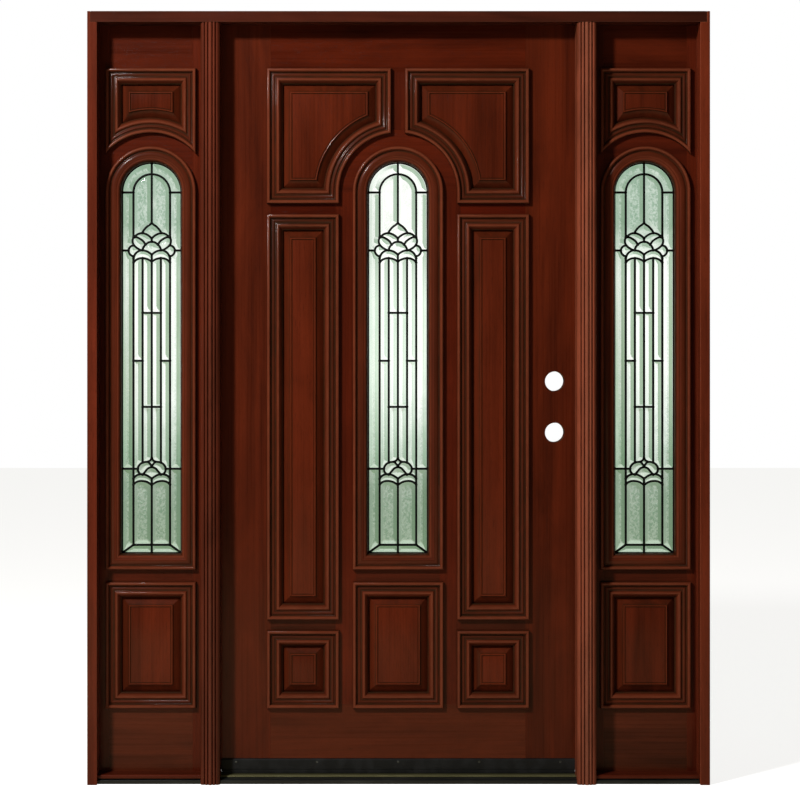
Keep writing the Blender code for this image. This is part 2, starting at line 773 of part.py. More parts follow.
# Door sweep on the foot of the leaf's front
sweep_half = MULLION_INNER - DOOR_GAP
sweep_front = LEAF_FRONT - SWEEP_THICK
sweep_outline = [
    (LEAF_FRONT - GAP, CAP_TOP + SWEEP_CLEARANCE),
    (LEAF_FRONT - GAP, SWEEP_TOP),
    (sweep_front + SWEEP_THICK * 0.4, SWEEP_TOP),
    (sweep_front, SWEEP_TOP - SWEEP_THICK * 0.5),
    (sweep_front, CAP_TOP + SWEEP_CLEARANCE),
]
add_object(
    "door_sweep",
    lengthwise(sweep_outline, -sweep_half, sweep_half),
    "sweep_vinyl",
    moving=True,
)


# Sidelights: a glued-up frame with a nosing in each bay, with two panels and a leaded light

def strip_outline():
    """YZ section of a sidelight's nosing, with a rounded front edge, from inside the bottom rail."""
    front = LEAF_FRONT - STRIP_REACH
    bottom = SILL_HEIGHT + GAP
    top = SILL_HEIGHT + STRIP_HEIGHT
    hidden = LEAF_FRONT + LIP
    outline = [(front, bottom), (hidden, bottom), (hidden, top)]
    corner = (front + STRIP_ROUND, top - STRIP_ROUND)
    return outline + arc(corner, STRIP_ROUND, math.pi / 2, math.pi, 4)


sidelight_bottom = SILL_HEIGHT + GAP
sidelight_top = HEAD_BOTTOM - GAP
for side, name in ((-1, "left"), (1, "right")):
    middle = side * BAY_CENTRE
    half = BAY_HALF - GAP
    light = arched(middle, LIGHT_HALF_WIDTH, LIGHT_BOTTOM)
    top_panel = arc_footed(middle)
    bottom_panel = rectangle(
        middle - LIGHT_HALF_WIDTH, middle + LIGHT_HALF_WIDTH, PANEL_BOTTOM, CENTRE_PANEL_TOP
    )
    frame = frame_member(
        name + "_sidelight_frame",
        middle - half,
        middle + half,
        sidelight_bottom,
        sidelight_top,
        moving=False,
    )
    nosing = lengthwise(strip_outline(), middle - half, middle + half)
    cut(frame, nosing, name + "_sidelight_nosing_guide", operation="UNION")
    for opening, outline in (("top", top_panel), ("glass", light), ("bottom", bottom_panel)):
        hole = upright(outline(LIP), LEAF_FRONT - LIP, LEAF_BACK + LIP)
        cut(frame, hole, f"{name}_sidelight_{opening}_cutter")
        moulding = f"{name}_sidelight_{opening}_moulding"
        add_moulding(moulding, outline, moving=False, glazed=opening == "glass")
    add_panel(name + "_sidelight_top_panel", top_panel, moving=False)
    add_panel(name + "_sidelight_bottom_panel", bottom_panel, moving=False)
    add_leaded_glass(name + "_sidelight_leaded_glass", middle, moving=False)


# Butt hinges: let into the mullion and the stile, turning on one axis behind the door

def knuckle_span(index, bottom):
    """Height range of one knuckle, with a running gap above and below."""
    length = HINGE_HEIGHT / KNUCKLES
    return bottom + index * length + GAP / 2, bottom + (index + 1) * length - GAP / 2


def hinge_plate(left, right, bottom, top, front, back):
    return box((left, front, bottom), (right, back, top))


axis_centre = (HINGE_X, HINGE_Y)
plate_front = BACK - HINGE_LEAF_WIDTH
plate_back = BACK
tab_back = HINGE_Y - KNUCKLE_RADIUS / 3
mullion_plate = (-RABBET - HINGE_LEAF_THICK, -RABBET)
stile_plate = (-LEAF_HALF_WIDTH, -LEAF_HALF_WIDTH + HINGE_LEAF_THICK)
for index, centre in enumerate(HINGE_CENTRES):
    bottom = centre - HINGE_HEIGHT / 2
    top = centre + HINGE_HEIGHT / 2
    number = index + 1
    frame_half = add_object(
        f"frame_hinge_leaf_{number}",
        hinge_plate(*mullion_plate, bottom, top, plate_front, plate_back),
        "hinge_bronze",
    )
    door_half = add_object(
        f"door_hinge_leaf_{number}",
        hinge_plate(*stile_plate, bottom, top, plate_front, plate_back),
        "hinge_bronze",
        moving=True,
    )
    for knuckle in range(KNUCKLES):
        low, high = knuckle_span(knuckle, bottom)
        fixed = knuckle % 2 == 0
        half, plate = (frame_half, mullion_plate) if fixed else (door_half, stile_plate)
        barrel = standing(circle(axis_centre, KNUCKLE_RADIUS, HINGE_SIDES), low, high)
        tab = box((plate[0], BACK - LIP, low), (plate[1], tab_back, high))
        tag = f"{number}_{knuckle + 1}"
        cut(half, tab, f"hinge_tab_guide_{tag}", not fixed, operation="UNION")
        cut(half, barrel, f"hinge_barrel_guide_{tag}", not fixed, operation="UNION")
    pin = standing(circle(axis_centre, PIN_RADIUS, HINGE_SIDES), bottom + GAP, top - GAP)
    cut(frame_half, pin, f"hinge_pin_guide_{number}", operation="UNION")
    bore = standing(
        circle(axis_centre, PIN_RADIUS + PIN_CLEARANCE, HINGE_SIDES), bottom - LIP, top + LIP
    )
    cut(door_half, bore, f"hinge_bore_cutter_{number}", moving=True)
    # Mortises that let each plate in flush
    mullion_mortise = box(
        (mullion_plate[0] - GAP, plate_front - GAP, bottom - GAP),
        (mullion_plate[1] + LIP, BACK + LIP, top + GAP),
    )
    cut(posts[-1], mullion_mortise, f"mullion_mortise_cutter_{number}")
    stile_mortise = box(
        (stile_plate[0] - LIP, plate_front - GAP, bottom - GAP),
        (stile_plate[1] + GAP, BACK + LIP, top + GAP),
    )
    cut(hinge_stile, stile_mortise, f"stile_mortise_cutter_{number}", moving=True)
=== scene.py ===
# Looks of a mahogany entry door with two sidelights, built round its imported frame.
# Metres. X runs to the right, Y into the house, Z up. The origin is under the sill, at its middle.

import math

import bmesh
import bpy
import numpy as np
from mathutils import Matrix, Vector


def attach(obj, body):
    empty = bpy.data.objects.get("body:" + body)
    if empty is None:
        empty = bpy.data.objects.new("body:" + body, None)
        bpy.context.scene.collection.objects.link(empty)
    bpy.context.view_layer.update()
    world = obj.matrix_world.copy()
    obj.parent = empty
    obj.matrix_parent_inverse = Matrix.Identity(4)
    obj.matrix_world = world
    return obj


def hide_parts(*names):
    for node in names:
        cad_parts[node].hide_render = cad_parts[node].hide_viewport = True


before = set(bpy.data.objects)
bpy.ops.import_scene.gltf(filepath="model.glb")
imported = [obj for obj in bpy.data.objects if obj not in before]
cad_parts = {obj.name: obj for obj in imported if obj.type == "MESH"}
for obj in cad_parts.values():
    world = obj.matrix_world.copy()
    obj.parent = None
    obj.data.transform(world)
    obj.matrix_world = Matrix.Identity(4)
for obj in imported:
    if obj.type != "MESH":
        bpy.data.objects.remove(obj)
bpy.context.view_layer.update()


# Side jambs and head: solid mahogany boards, planed, stained red-brown and lacquered.
# The head is housed into the side jambs. Their front edges are eased by hand and rubbed
# a little lighter there, made lighter still as a painted highlight. The same wood, cut
# differently, makes every other board.

# The right jamb is stained lighter than the left: painted light, where the lamp falls off towards the
# right.
JAMB_TONES = {
    "left_side_jamb": ((52, 19, 10), (118, 46, 26)),
    "right_side_jamb": ((62, 22, 11), (134, 54, 30)),
    "head_jamb": ((44, 18, 11), (90, 38, 24)),
}


def shade(red, green, blue):
    """A finish's colour in linear light, from its usual values of 0 to 255."""
    parts = [part / 255 for part in (red, green, blue)]
    linear = [part / 12.92 if part <= 0.04045 else ((part + 0.055) / 1.055) ** 2.4 for part in parts]
    return (*linear, 1.0)


def feed_node(node, feeds):
    """Give each named input of a node a value or a link."""
    for key, value in feeds.items():
        if isinstance(value, bpy.types.NodeSocket):
            node.id_data.links.new(value, node.inputs[key])
        else:
            node.inputs[key].default_value = value


def add_node(tree, kind, feeds=None, **choices):
    """Add a node with its choices and inputs."""
    node = tree.nodes.new(kind)
    for key, value in choices.items():
        setattr(node, key, value)
    feed_node(node, feeds or {})
    return node


def first_of(tree, kind, feeds=None, **choices):
    """Add a node, and give the socket of its first result."""
    return add_node(tree, kind, feeds, **choices).outputs[0]


def attribute(tree, name):
    """A mark that the mesh carries, as a socket."""
    return add_node(tree, "ShaderNodeAttribute", attribute_name=name).outputs["Fac"]


def object_place(tree):
    """The place of each point in the object's own frame."""
    return add_node(tree, "ShaderNodeTexCoord").outputs["Object"]


def blend_colour(tree, share, first, second, way="MIX"):
    """Mix two colours by a share, and give the socket of the result."""
    feeds = {0: share, 6: first, 7: second}
    return add_node(tree, "ShaderNodeMix", feeds, data_type="RGBA", blend_type=way).outputs[2]


def sum_up(tree, way, first, second, clamp=False):
    """The result of a sum on two values, as a socket."""
    return first_of(tree, "ShaderNodeMath", {0: first, 1: second}, operation=way, use_clamp=clamp)


def times(tree, first, second, clamp=False):
    """The product of two values."""
    return sum_up(tree, "MULTIPLY", first, second, clamp)


def spread(tree, value, low, high, new_low=0.0, new_high=1.0):
    """Stretch the part of a value between low and high to a new range."""
    return first_of(tree, "ShaderNodeMapRange", {0: value, 1: low, 2: high, 3: new_low, 4: new_high})


def stretched_noise(tree, place, stretch, scale, detail, distortion=0.0):
    """Noise drawn out along Z by a stretch."""
    drawn = first_of(tree, "ShaderNodeMapping", {"Vector": place, "Scale": (1.0, 1.0, stretch)})
    feeds = {"Vector": drawn, "Scale": scale, "Detail": detail, "Roughness": 0.6, "Distortion": distortion}
    return first_of(tree, "ShaderNodeTexNoise", feeds)


def new_group(name, inputs, outputs, kind="ShaderNodeTree"):
    """A node group with its named sockets, and the sockets that it is given."""
    tree = bpy.data.node_groups.new(name, kind)
    for way, sockets in (("INPUT", inputs), ("OUTPUT", outputs)):
        for label, what in sockets.items():
            tree.interface.new_socket(label, in_out=way, socket_type="NodeSocket" + what)
    return tree, tree.nodes.new("NodeGroupInput").outputs


# Shares of the figure, the fine lines and the ribbon in the tone, and the finishes laid over it: pores,
# glaze with painted shade in the hollows, and rubbed wear with a painted highlight
FIGURE_SHARE, LINE_SHARE, RIBBON_SHARE = 0.50, 0.18, 0.32
PORE_SHADE, PORE_DARKNESS = shade(26, 9, 5), 0.38
GLAZE_AND_SHADE_COLOUR, GLAZE_AND_SHADE_COVER, GLAZE_DULLNESS = shade(34, 26, 12), 0.85, 0.18
RUBBED_AND_LIT_DIVISOR, WEAR_AND_HIGHLIGHT_COVER = shade(205, 165, 150), 0.48


def stained_wood_group():
    """Mahogany under stain, glaze and lacquer, with painted shade where the glaze lies and a painted
    highlight where it is rubbed. The grain runs along Z of the given place.
    """
    inputs = {"Place": "Vector", "Dark": "Color", "Light": "Color", "Glaze": "Float", "Wear": "Float"}
    outputs = {"Colour": "Color", "Roughness": "Float", "Height": "Float"}
    tree, given = new_group("stained_wood", inputs, outputs)
    place = given["Place"]
    figure = stretched_noise(tree, place, 0.05, 16.0, 5.0, 0.6)
    ribbon = stretched_noise(tree, place, 0.25, 9.0, 3.0, 1.5)
    lines = stretched_noise(tree, place, 0.012, 190.0, 4.0)
    pores = spread(tree, stretched_noise(tree, place, 0.045, 900.0, 2.0), 0.60, 0.70)
    tone = times(tree, spread(tree, figure, 0.32, 0.68), FIGURE_SHARE)
    tone = sum_up(tree, "ADD", tone, times(tree, spread(tree, lines, 0.3, 0.7), LINE_SHARE))
    tone = sum_up(tree, "ADD", tone, times(tree, spread(tree, ribbon, 0.3, 0.7), RIBBON_SHARE))
    colour = blend_colour(tree, tone, given["Dark"], given["Light"])
    colour = blend_colour(tree, times(tree, pores, PORE_DARKNESS), colour, PORE_SHADE)
    patchy = spread(tree, stretched_noise(tree, place, 0.4, 60.0, 4.0), 0.35, 0.7, 0.55, 1.0)
    # Glaze pooled in the hollows, darker than glaze alone would be: painted shade in the creases.
    pooled_glaze_and_shade = times(tree, given["Glaze"], patchy, clamp=True)
    colour = blend_colour(tree, times(tree, pooled_glaze_and_shade, GLAZE_AND_SHADE_COVER), colour, GLAZE_AND_SHADE_COLOUR)
    # Rubbed lighter on the rounds and eased edges: wear, made stronger as a painted highlight.
    rubbed_and_lit = times(tree, given["Wear"], patchy, clamp=True)
    rubbed_and_lit_colour = blend_colour(tree, 1.0, given["Light"], RUBBED_AND_LIT_DIVISOR, "DIVIDE")
    colour = blend_colour(tree, times(tree, rubbed_and_lit, WEAR_AND_HIGHLIGHT_COVER), colour, rubbed_and_lit_colour)
    roughness = spread(tree, lines, 0.3, 0.7, 0.24, 0.35)
    roughness = sum_up(tree, "ADD", roughness, times(tree, pooled_glaze_and_shade, GLAZE_DULLNESS))
    height = sum_up(tree, "SUBTRACT", times(tree, lines, 0.35), pores)
    add_node(tree, "NodeGroupOutput", {"Colour": colour, "Roughness": roughness, "Height": height})
    return tree


stained_wood = stained_wood_group()


def new_material(name):
    """An empty material and its shader."""
    material = bpy.data.materials.new(name)
    material.use_nodes = True
    return material, material.node_tree, material.node_tree.nodes["Principled BSDF"]


def dress_shader(tree, shader, height, strength, distance, feeds):
    """Give a shader a bump from a height, and its other inputs."""
    bump = first_of(tree, "ShaderNodeBump", {"Height": height, "Strength": strength, "Distance": distance})
    feed_node(shader, {"Normal": bump, **feeds})


def grain_turn(grain):
    """The turn that lays upright grain level."""
    return (0.0, math.pi / 2, 0.0) if grain == "level" else (0.0, 0.0, 0.0)


def mahogany(name, dark, light, grain, shift, marks=()):
    """Stained mahogany. Its grain runs upright, level, or along the piece's own map."""
    material, tree, shader = new_material(name)
    if grain == "run":
        mapped = first_of(tree, "ShaderNodeUVMap", uv_map="run")
        along, across, _ = add_node(tree, "ShaderNodeSeparateXYZ", {0: mapped}).outputs
        place = first_of(tree, "ShaderNodeCombineXYZ", {0: across, 2: along})
    else:
        place = object_place(tree)
    turned = {"Vector": place, "Location": shift, "Rotation": grain_turn(grain)}
    placed = first_of(tree, "ShaderNodeMapping", turned)
    feeds = {"Place": placed, "Dark": shade(*dark), "Light": shade(*light)}
    for mark in marks:
        feeds[mark.capitalize()] = attribute(tree, mark)
    wood = add_node(tree, "ShaderNodeGroup", feeds, node_tree=stained_wood).outputs
    looks = {
        "Base Color": wood["Colour"],
        "Roughness": wood["Roughness"],
        "Specular IOR Level": 0.05,
        "Coat Weight": 0.15,
        "Coat Roughness": 0.14,
    }
    dress_shader(tree, shader, wood["Height"], 0.35, 0.0004, looks)
    return material


def settle(piece, body, slot, *nodes):
    """Fix a finished piece to its body and hide the frame's nodes that it stands for."""
    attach(piece, body)
    if nodes:
        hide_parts(*nodes)
    return piece


def mesh_of(shape, name):
    """Turn a shape into a mesh with its faces out."""
    bmesh.ops.recalc_face_normals(shape, faces=shape.faces)
    mesh = bpy.data.meshes.new(name)
    shape.to_mesh(mesh)
    shape.free()
    return mesh


def add_object(name, data):
    """Put a mesh, a light or a camera into the scene."""
    thing = bpy.data.objects.new(name, data)
    bpy.context.scene.collection.objects.link(thing)
    return thing


def add_piece(name, shape, material, smooth_under=35.0):
    """Turn a shape into a named piece, smooth but for its sharper edges."""
    mesh = mesh_of(shape, name)
    mesh.materials.append(material)
    mesh.shade_smooth()
    mesh.set_sharp_from_angle(angle=math.radians(smooth_under))
    return add_object(name, mesh)


def built_mesh(thing):
    """What an object's modifiers make of it, as a plain mesh."""
    depsgraph = bpy.context.evaluated_depsgraph_get()
    return bpy.data.meshes.new_from_object(thing.evaluated_get(depsgraph))


def flatten_faces(piece):
    """Shade wide faces flat up to their eased edges."""
    even = piece.modifiers.new("even", "WEIGHTED_NORMAL")
    even.keep_sharp = True
    even.weight = 100
    shaded = built_mesh(piece)
    piece.modifiers.remove(even)
    shaded.name = piece.name
    piece.data = shaded
    return piece


def ease_edges(shape, ease):
    """Round the sharp edges of a shape, and mark them as rubbed, for wear and a painted highlight."""
    wear = shape.faces.layers.float.new("wear")
    sharp = [
        edge
        for edge in shape.edges
        if edge.is_manifold and edge.calc_face_angle(0.0) > math.radians(30)
    ]
    eased = bmesh.ops.bevel(
        shape, geom=sharp, offset=ease, segments=2, profile=0.5, affect="EDGES", clamp_overlap=True
    )
    for face in eased["faces"]:
        face[wear] = 1.0


def close_joints(shape, reach=0.00014):
    """Grow a board on all sides until its glued joints all but touch."""
    bmesh.ops.recalc_face_normals(shape, faces=shape.faces)
    shape.normal_update()
    moves = [(vert, vert.normal * vert.calc_shell_factor() * reach) for vert in shape.verts]
    for vert, move in moves:
        vert.co += move
    return shape


def eased_copy(node, ease, glued=False):
    """The frame's own solid for a plain piece, merged, with its edges eased."""
    shape = bmesh.new()
    shape.from_mesh(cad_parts[node].data)
    bmesh.ops.remove_doubles(shape, verts=shape.verts, dist=1e-5)
    bmesh.ops.dissolve_limit(
        shape, angle_limit=math.radians(1.0), verts=shape.verts, edges=shape.edges
    )
    if glued:
        close_joints(shape)
    ease_edges(shape, ease)
    return shape


for index, (node, (dark, light)) in enumerate(JAMB_TONES.items()):
    grain = "level" if node == "head_jamb" else "upright"
    wood = mahogany(node + "_wood", dark, light, grain, (0.31 * index, 0.2, 0.7), ("wear",))
    board = flatten_faces(add_piece(node + "_board", eased_copy(node, 0.0012), wood))
    settle(board, "frame", "mahogany_frame", node)


# Mullions: the two posts between the door and the sidelights, in the same mahogany. Each is a
# plain post with a wider face planted on its front, reeded in five rounds on a moulder. The
# face's edge is the stop that the door shuts on, and its foot is notched over the sill.

GAP = 0.0003
FRONT = -0.058
BACK = 0.058
LEAF_FRONT = 0.0125
LEAF_THICK = 0.0445
LEAF_BACK = LEAF_FRONT + LEAF_THICK
STOP_FACE = LEAF_FRONT - 0.006
HEAD_BOTTOM = 2.054
MULLION_INNER = 0.481
MULLION_OUTER = 0.5335
MULLION_MIDDLE = (MULLION_OUTER + MULLION_INNER) / 2
MULLION_HALF = (MULLION_OUTER - MULLION_INNER) / 2
MULLION_RELIEF = 0.0125
RABBET = 0.4903
SILL_HEIGHT = 0.014
SILL_NOSE = 0.010
SILL_FRONT = FRONT + 0.014
SILL_SLOPE = 0.022
HINGE_HEIGHT = 0.102
HINGE_PLATE = 0.034
HINGE_THICK = 0.0025
HINGE_CENTRES = (0.2585, 1.0444, 1.8303)

# The right mullion is stained lighter than the left, most of all in its light tone: painted light, where
# the lamp falls off towards the right.
MULLION_TONES = {
    "left": ((50, 20, 11), (110, 46, 28)),
    "right": ((68, 31, 18), (160, 80, 54)),
}

# Half of the reeded front: share of the half width from the middle, and share of the relief
REEDS = (
    (-1.0, 1.0), (-0.985, 0.78), (-0.93, 0.60), (-0.80, 0.36), (-0.68, 0.27), (-0.605, 0.40),
    (-0.565, 0.58), (-0.53, 0.38), (-0.46, 0.17), (-0.37, 0.10), (-0.29, 0.20), (-0.245, 0.40),
    (-0.215, 0.54), (-0.19, 0.28), (-0.14, 0.08), (-0.07, 0.01), (0.0, 0.0),
)


def curve_through(points, steps):
    """A smooth line through points, with a number of steps between each two."""
    path = [Vector(point) for point in points]
    ends = [path[0] * 2 - path[1]] + path + [path[-1] * 2 - path[-2]]
    smooth = []
    for a, b, c, d in zip(ends, ends[1:], ends[2:], ends[3:]):
        for step in range(steps):
            t = step / steps
            bend = (2 * a - 5 * b + 4 * c - d) * t * t + (3 * b - a - 3 * c + d) * t * t * t
            smooth.append(b + ((c - a) * t + bend) / 2)
    return smooth + [path[-1]]


def loft(loops, closed):
    """A skin through loops of points. Closed joins last to first; otherwise both ends are capped."""
    shape = bmesh.new()
    rows = [[shape.verts.new(point) for point in loop] for loop in loops]
    count = len(rows[0])
    spans = len(rows) if closed else len(rows) - 1
    for index in range(spans):
        row, beyond = rows[index], rows[(index + 1) % len(rows)]
        for step in range(count):
            after = (step + 1) % count
            shape.faces.new((row[step], row[after], beyond[after], beyond[step]))
    if not closed:
        shape.faces.new(rows[0])
        shape.faces.new(rows[-1])
    return shape


def standing(outline, bottom, top):
    """An XY outline given height."""
    return loft([[(x, y, z) for x, y in outline] for z in (bottom, top)], closed=False)


def upright(outline, front, back):
    """An XZ outline given thickness."""
    return loft([[(x, y, z) for x, z in outline] for y in (front, back)], closed=False)


def lengthwise(outline, left, right):
    """A YZ outline run along X."""
    return loft([[(x, y, z) for y, z in outline] for x in (left, right)], closed=False)


def block(low, high):
    """A plain block between two corners."""
    outline = [(low[0], low[1]), (high[0], low[1]), (high[0], high[1]), (low[0], high[1])]
    return standing(outline, low[2], high[2])


def carve(shape, cutters):
    """Take hidden shapes away from a shape."""
    blank = add_object("blank", mesh_of(shape, "blank"))
    tools = [add_object("tool", mesh_of(cutter, "tool")) for cutter in cutters]
    for tool in tools:
        modifier = blank.modifiers.new("cut", "BOOLEAN")
        modifier.operation = "DIFFERENCE"
        modifier.solver = "EXACT"
        modifier.object = tool
    result = bmesh.new()
    result.from_mesh(built_mesh(blank))
    for spare in [blank] + tools:
        bpy.data.objects.remove(spare, do_unlink=True)
    bmesh.ops.remove_doubles(result, verts=result.verts, dist=1e-6)
    return result


def sill_section(grow):
    """YZ section of the sill: a nose, a slope and a flat top."""
    return [
        (SILL_FRONT - grow, -grow),
        (BACK + grow, -grow),
        (BACK + grow, SILL_HEIGHT - GAP + grow),
        (SILL_FRONT + SILL_SLOPE, SILL_HEIGHT - GAP + grow),
        (SILL_FRONT - grow, SILL_NOSE + grow),
    ]


def face_section(side):
    """XY section of a reeded face, from its rounds back to the post."""
    reeds = curve_through(REEDS, 4)
    across = reeds + [Vector((-point.x, point.y)) for point in reversed(reeds[:-1])]
    section = [
        (MULLION_MIDDLE + point.x * MULLION_HALF, FRONT + point.y * MULLION_RELIEF) for point in across
    ]
    section += [(MULLION_OUTER, STOP_FACE), (MULLION_INNER, STOP_FACE)]
    return [(side * x, y) for x, y in section]


def part_of_one(value):
    """A value held between none and all."""
    return max(0.0, min(1.0, value))


def vertex_marks(shape, *names):
    """New marks on a shape's points."""
    return [shape.verts.layers.float.new(name) for name in names]


def reed_depth(x, y):
    """How far a point of the reeded front lies below the rounds beside it."""
    behind = (y - FRONT) / MULLION_RELIEF
    if behind > 1.01:
        return 0.0
    edge = abs(x - MULLION_MIDDLE) / MULLION_HALF >= 0.9
    return (behind - 0.5) * 0.8 if edge else (behind - 0.34) * 1.5


for side, name in ((-1, "left"), (1, "right")):
    dark, light = MULLION_TONES[name]
    ends = sorted((side * (MULLION_INNER - 0.01), side * (MULLION_OUTER + 0.01)))
    notch = lengthwise(sill_section(GAP), *ends)
    face = carve(standing(face_section(side), 0.0, HEAD_BOTTOM - GAP), [notch])
    # Glaze with painted shade down in the grooves between the rounds, wear with a painted highlight on
    # their crowns.
    glaze, wear = vertex_marks(face, "glaze", "wear")
    for vert in face.verts:
        low = reed_depth(side * vert.co.x, vert.co.y)
        vert[glaze], vert[wear] = part_of_one(low), part_of_one(-low)
    node = name + "_mullion_reeded_face"
    wood = mahogany(node + "_wood", dark, light, "upright", (side, 0.1, 0.4), ("glaze", "wear"))
    settle(add_piece(node + "_run", face, wood, 50.0), "frame", "mahogany_frame", node)
    node = name + "_mullion_post"
    wood = mahogany(node + "_wood", dark, light, "upright", (side, 0.7, 0.9), ("wear",))
    post = flatten_faces(add_piece(node + "_board", eased_copy(node, 0.0008), wood))
    settle(post, "frame", "mahogany_frame", node)


# Sill: an extruded aluminium sill in dark bronze, right across the unit, with a sloping nose
# and a top scuffed along its length. A brass cap is pressed down on it under the door.


def metal(name, colour, scuffed, roughness, metallic, grain="level"):
    """A drawn metal with fine lines along its length and a patchy, handled surface."""
    material, tree, shader = new_material(name)
    turned = {"Vector": object_place(tree), "Rotation": grain_turn(grain)}
    placed = first_of(tree, "ShaderNodeMapping", turned)
    drawn = stretched_noise(tree, placed, 0.02, 420.0, 3.0)
    patches = stretched_noise(tree, placed, 0.35, 22.0, 6.0, 0.5)
    scuffs = times(tree, spread(tree, patches, 0.48, 0.72), spread(tree, drawn, 0.42, 0.6))
    looks = {
        "Base Color": blend_colour(tree, scuffs, shade(*colour), shade(*scuffed)),
        "Roughness": spread(tree, patches, 0.3, 0.7, roughness - 0.08, roughness + 0.12),
        "Metallic": metallic,
    }
    dress_shader(tree, shader, drawn, 0.25, 0.0002, looks)
    return material


dark_bronze = metal("dark_bronze_sill", (30, 31, 31), (58, 60, 58), 0.42, 0.4)
sill = flatten_faces(add_piece("sill_extrusion", eased_copy("sill", 0.0008), dark_bronze))
settle(sill, "frame", "dark_bronze", "sill")
cap_brass = metal("olive_brass", (104, 100, 66), (134, 128, 90), 0.45, 0.5)
cap = flatten_faces(add_piece("threshold_cap_strip", eased_copy("threshold_cap", 0.0005), cap_brass))
settle(cap, "frame", "threshold_brass", "threshold_cap")


# Weatherstrip: one length of grey-green rubber, pressed into the stops on both sides of the
# doorway and across its head. Only its edge shows, as a dark line round the leaf.


def rubber(name, colour, roughness):
    """A soft extrusion: an even colour with a little dust and a fine, dull skin."""
    material, tree, shader = new_material(name)
    place = object_place(tree)
    dust = stretched_noise(tree, place, 0.6, 35.0, 6.0)
    skin = stretched_noise(tree, place, 0.3, 900.0, 2.0)
    dusty = spread(tree, dust, 0.45, 0.8, 0.0, 0.22)
    looks = {
        "Base Color": blend_colour(tree, dusty, shade(*colour), shade(70, 70, 68)),
        "Roughness": spread(tree, dust, 0.3, 0.7, roughness - 0.06, roughness + 0.1),
        "Specular IOR Level": 0.2,
    }
    dress_shader(tree, shader, skin, 0.2, 0.0002, looks)
    return material


seal_rubber = rubber("seal_rubber", (40, 46, 40), 0.7)
seal = flatten_faces(add_piece("weatherstrip_seal", eased_copy("weatherstrip", 0.0012), seal_rubber))
settle(seal, "frame", "seal_rubber", "weatherstrip")


# Door boards: the leaf's stiles, rails and muntins, glued up from 44.5 mm mahogany.
# The stiles run the full height, the rails between them. The arch rail is sawn to the curve
# over the light, and the short top muntin stands on its crown. Each board has its own figure.

LEAF_BOTTOM = 0.0285
LEAF_TOP = 2.0603
LEAF_HALF_WIDTH = 0.4873
PANEL_BOTTOM = 0.196
CENTRE_PANEL_TOP = 0.540
LIGHT_BOTTOM = 0.573
PANEL_TOP = 1.937
SPRING = 1.601
UPPER_PANEL_BOTTOM = 1.569
TALL_PANEL_BOTTOM = 0.437
TALL_PANEL_TOP = 1.540
SMALL_PANEL_TOP = 0.408
COLUMN_INNER = 0.160
COLUMN_OUTER = 0.357
LIGHT_HALF_WIDTH = 0.1235
TOP_MUNTIN_HALF = 0.0185
LIP = 0.010
CURVE_STEPS = 48
JOINT_EASE = 0.0003

BOARD_TONES = {
    "hinge_stile": ((50, 16, 7), (104, 38, 17)),
    "lock_stile": ((50, 15, 6), (106, 38, 16)),
    "top_rail": ((48, 12, 4), (102, 33, 12)),
    "bottom_rail": ((52, 19, 9), (108, 44, 22)),
    "top_muntin": ((50, 14, 6), (104, 36, 16)),
    "left_muntin": ((48, 13, 5), (104, 34, 14)),
    "right_muntin": ((46, 12, 5), (102, 33, 14)),
    "arch_rail": ((50, 13, 5), (104, 35, 15)),
    "left_upper_cross_rail": ((46, 10, 3), (92, 26, 9)),
    "right_upper_cross_rail": ((48, 10, 3), (96, 26, 9)),
    "left_lower_cross_rail": ((46, 14, 6), (94, 34, 17)),
    "right_lower_cross_rail": ((46, 14, 6), (94, 34, 17)),
    "centre_lower_cross_rail": ((46, 14, 6), (94, 34, 17)),
}


def arc(centre, radius, start, end, steps):
    """Points along part of a circle."""
    turns = [start + (end - start) * step / steps for step in range(steps + 1)]
    return [(centre[0] + radius * math.cos(turn), centre[1] + radius * math.sin(turn)) for turn in turns]


def rectangle(left, right, bottom, top):
    """A square-cornered panel. Each outline here gives its points at an inset from its edge."""
    def at(inset):
        return [
            (left + inset, bottom + inset),
            (right - inset, bottom + inset),
            (right - inset, top - inset),
            (left + inset, top - inset),
        ]
    return at


def arched(middle, half, bottom):
    """A round-headed light."""
    def at(inset):
        radius = half - inset
        head = arc((middle, SPRING), radius, 0.0, math.pi, CURVE_STEPS)
        return [(middle - radius, bottom + inset), (middle + radius, bottom + inset)] + head
    return at


def shouldered(side):
    """An upper panel, whose lower inner corner is hollowed round the arch."""
    def at(inset):
        radius = COLUMN_INNER + inset
        inner = TOP_MUNTIN_HALF + inset
        bottom = UPPER_PANEL_BOTTOM + inset
        start = math.acos(inner / radius)
        end = math.asin(max(0.0, bottom - SPRING) / radius)
        hollow = arc((0.0, SPRING), radius, start, end, CURVE_STEPS // 2)
        rest = [
            (hollow[-1][0], bottom),
            (COLUMN_OUTER - inset, bottom),
            (COLUMN_OUTER - inset, PANEL_TOP - inset),
            (inner, PANEL_TOP - inset),
        ]
        return [(side * x, z) for x, z in hollow + rest]
    return at


def arc_footed(middle):
    """A sidelight's top panel, hollowed below round the arch."""
    def at(inset):
        radius = COLUMN_INNER + inset
        half = LIGHT_HALF_WIDTH - inset
        reach = math.acos(half / radius)
        foot = arc((middle, SPRING), radius, math.pi - reach, reach, CURVE_STEPS // 2)
        return foot + [(middle + half, PANEL_TOP - inset), (middle - half, PANEL_TOP - inset)]
    return at


def arch_board(middle, half, reach, gap):
    """The curved rail over a light: its outer curve ends at a reach from the middle."""
    outer = COLUMN_INNER + LIP - gap
    turn = math.acos(min(1.0, reach / outer))
    over = arc((middle, SPRING), outer, turn, math.pi - turn, CURVE_STEPS)
    under = arc((middle, SPRING), half + gap, math.pi, 0.0, CURVE_STEPS)
    return upright(over + under, LEAF_FRONT, LEAF_BACK)


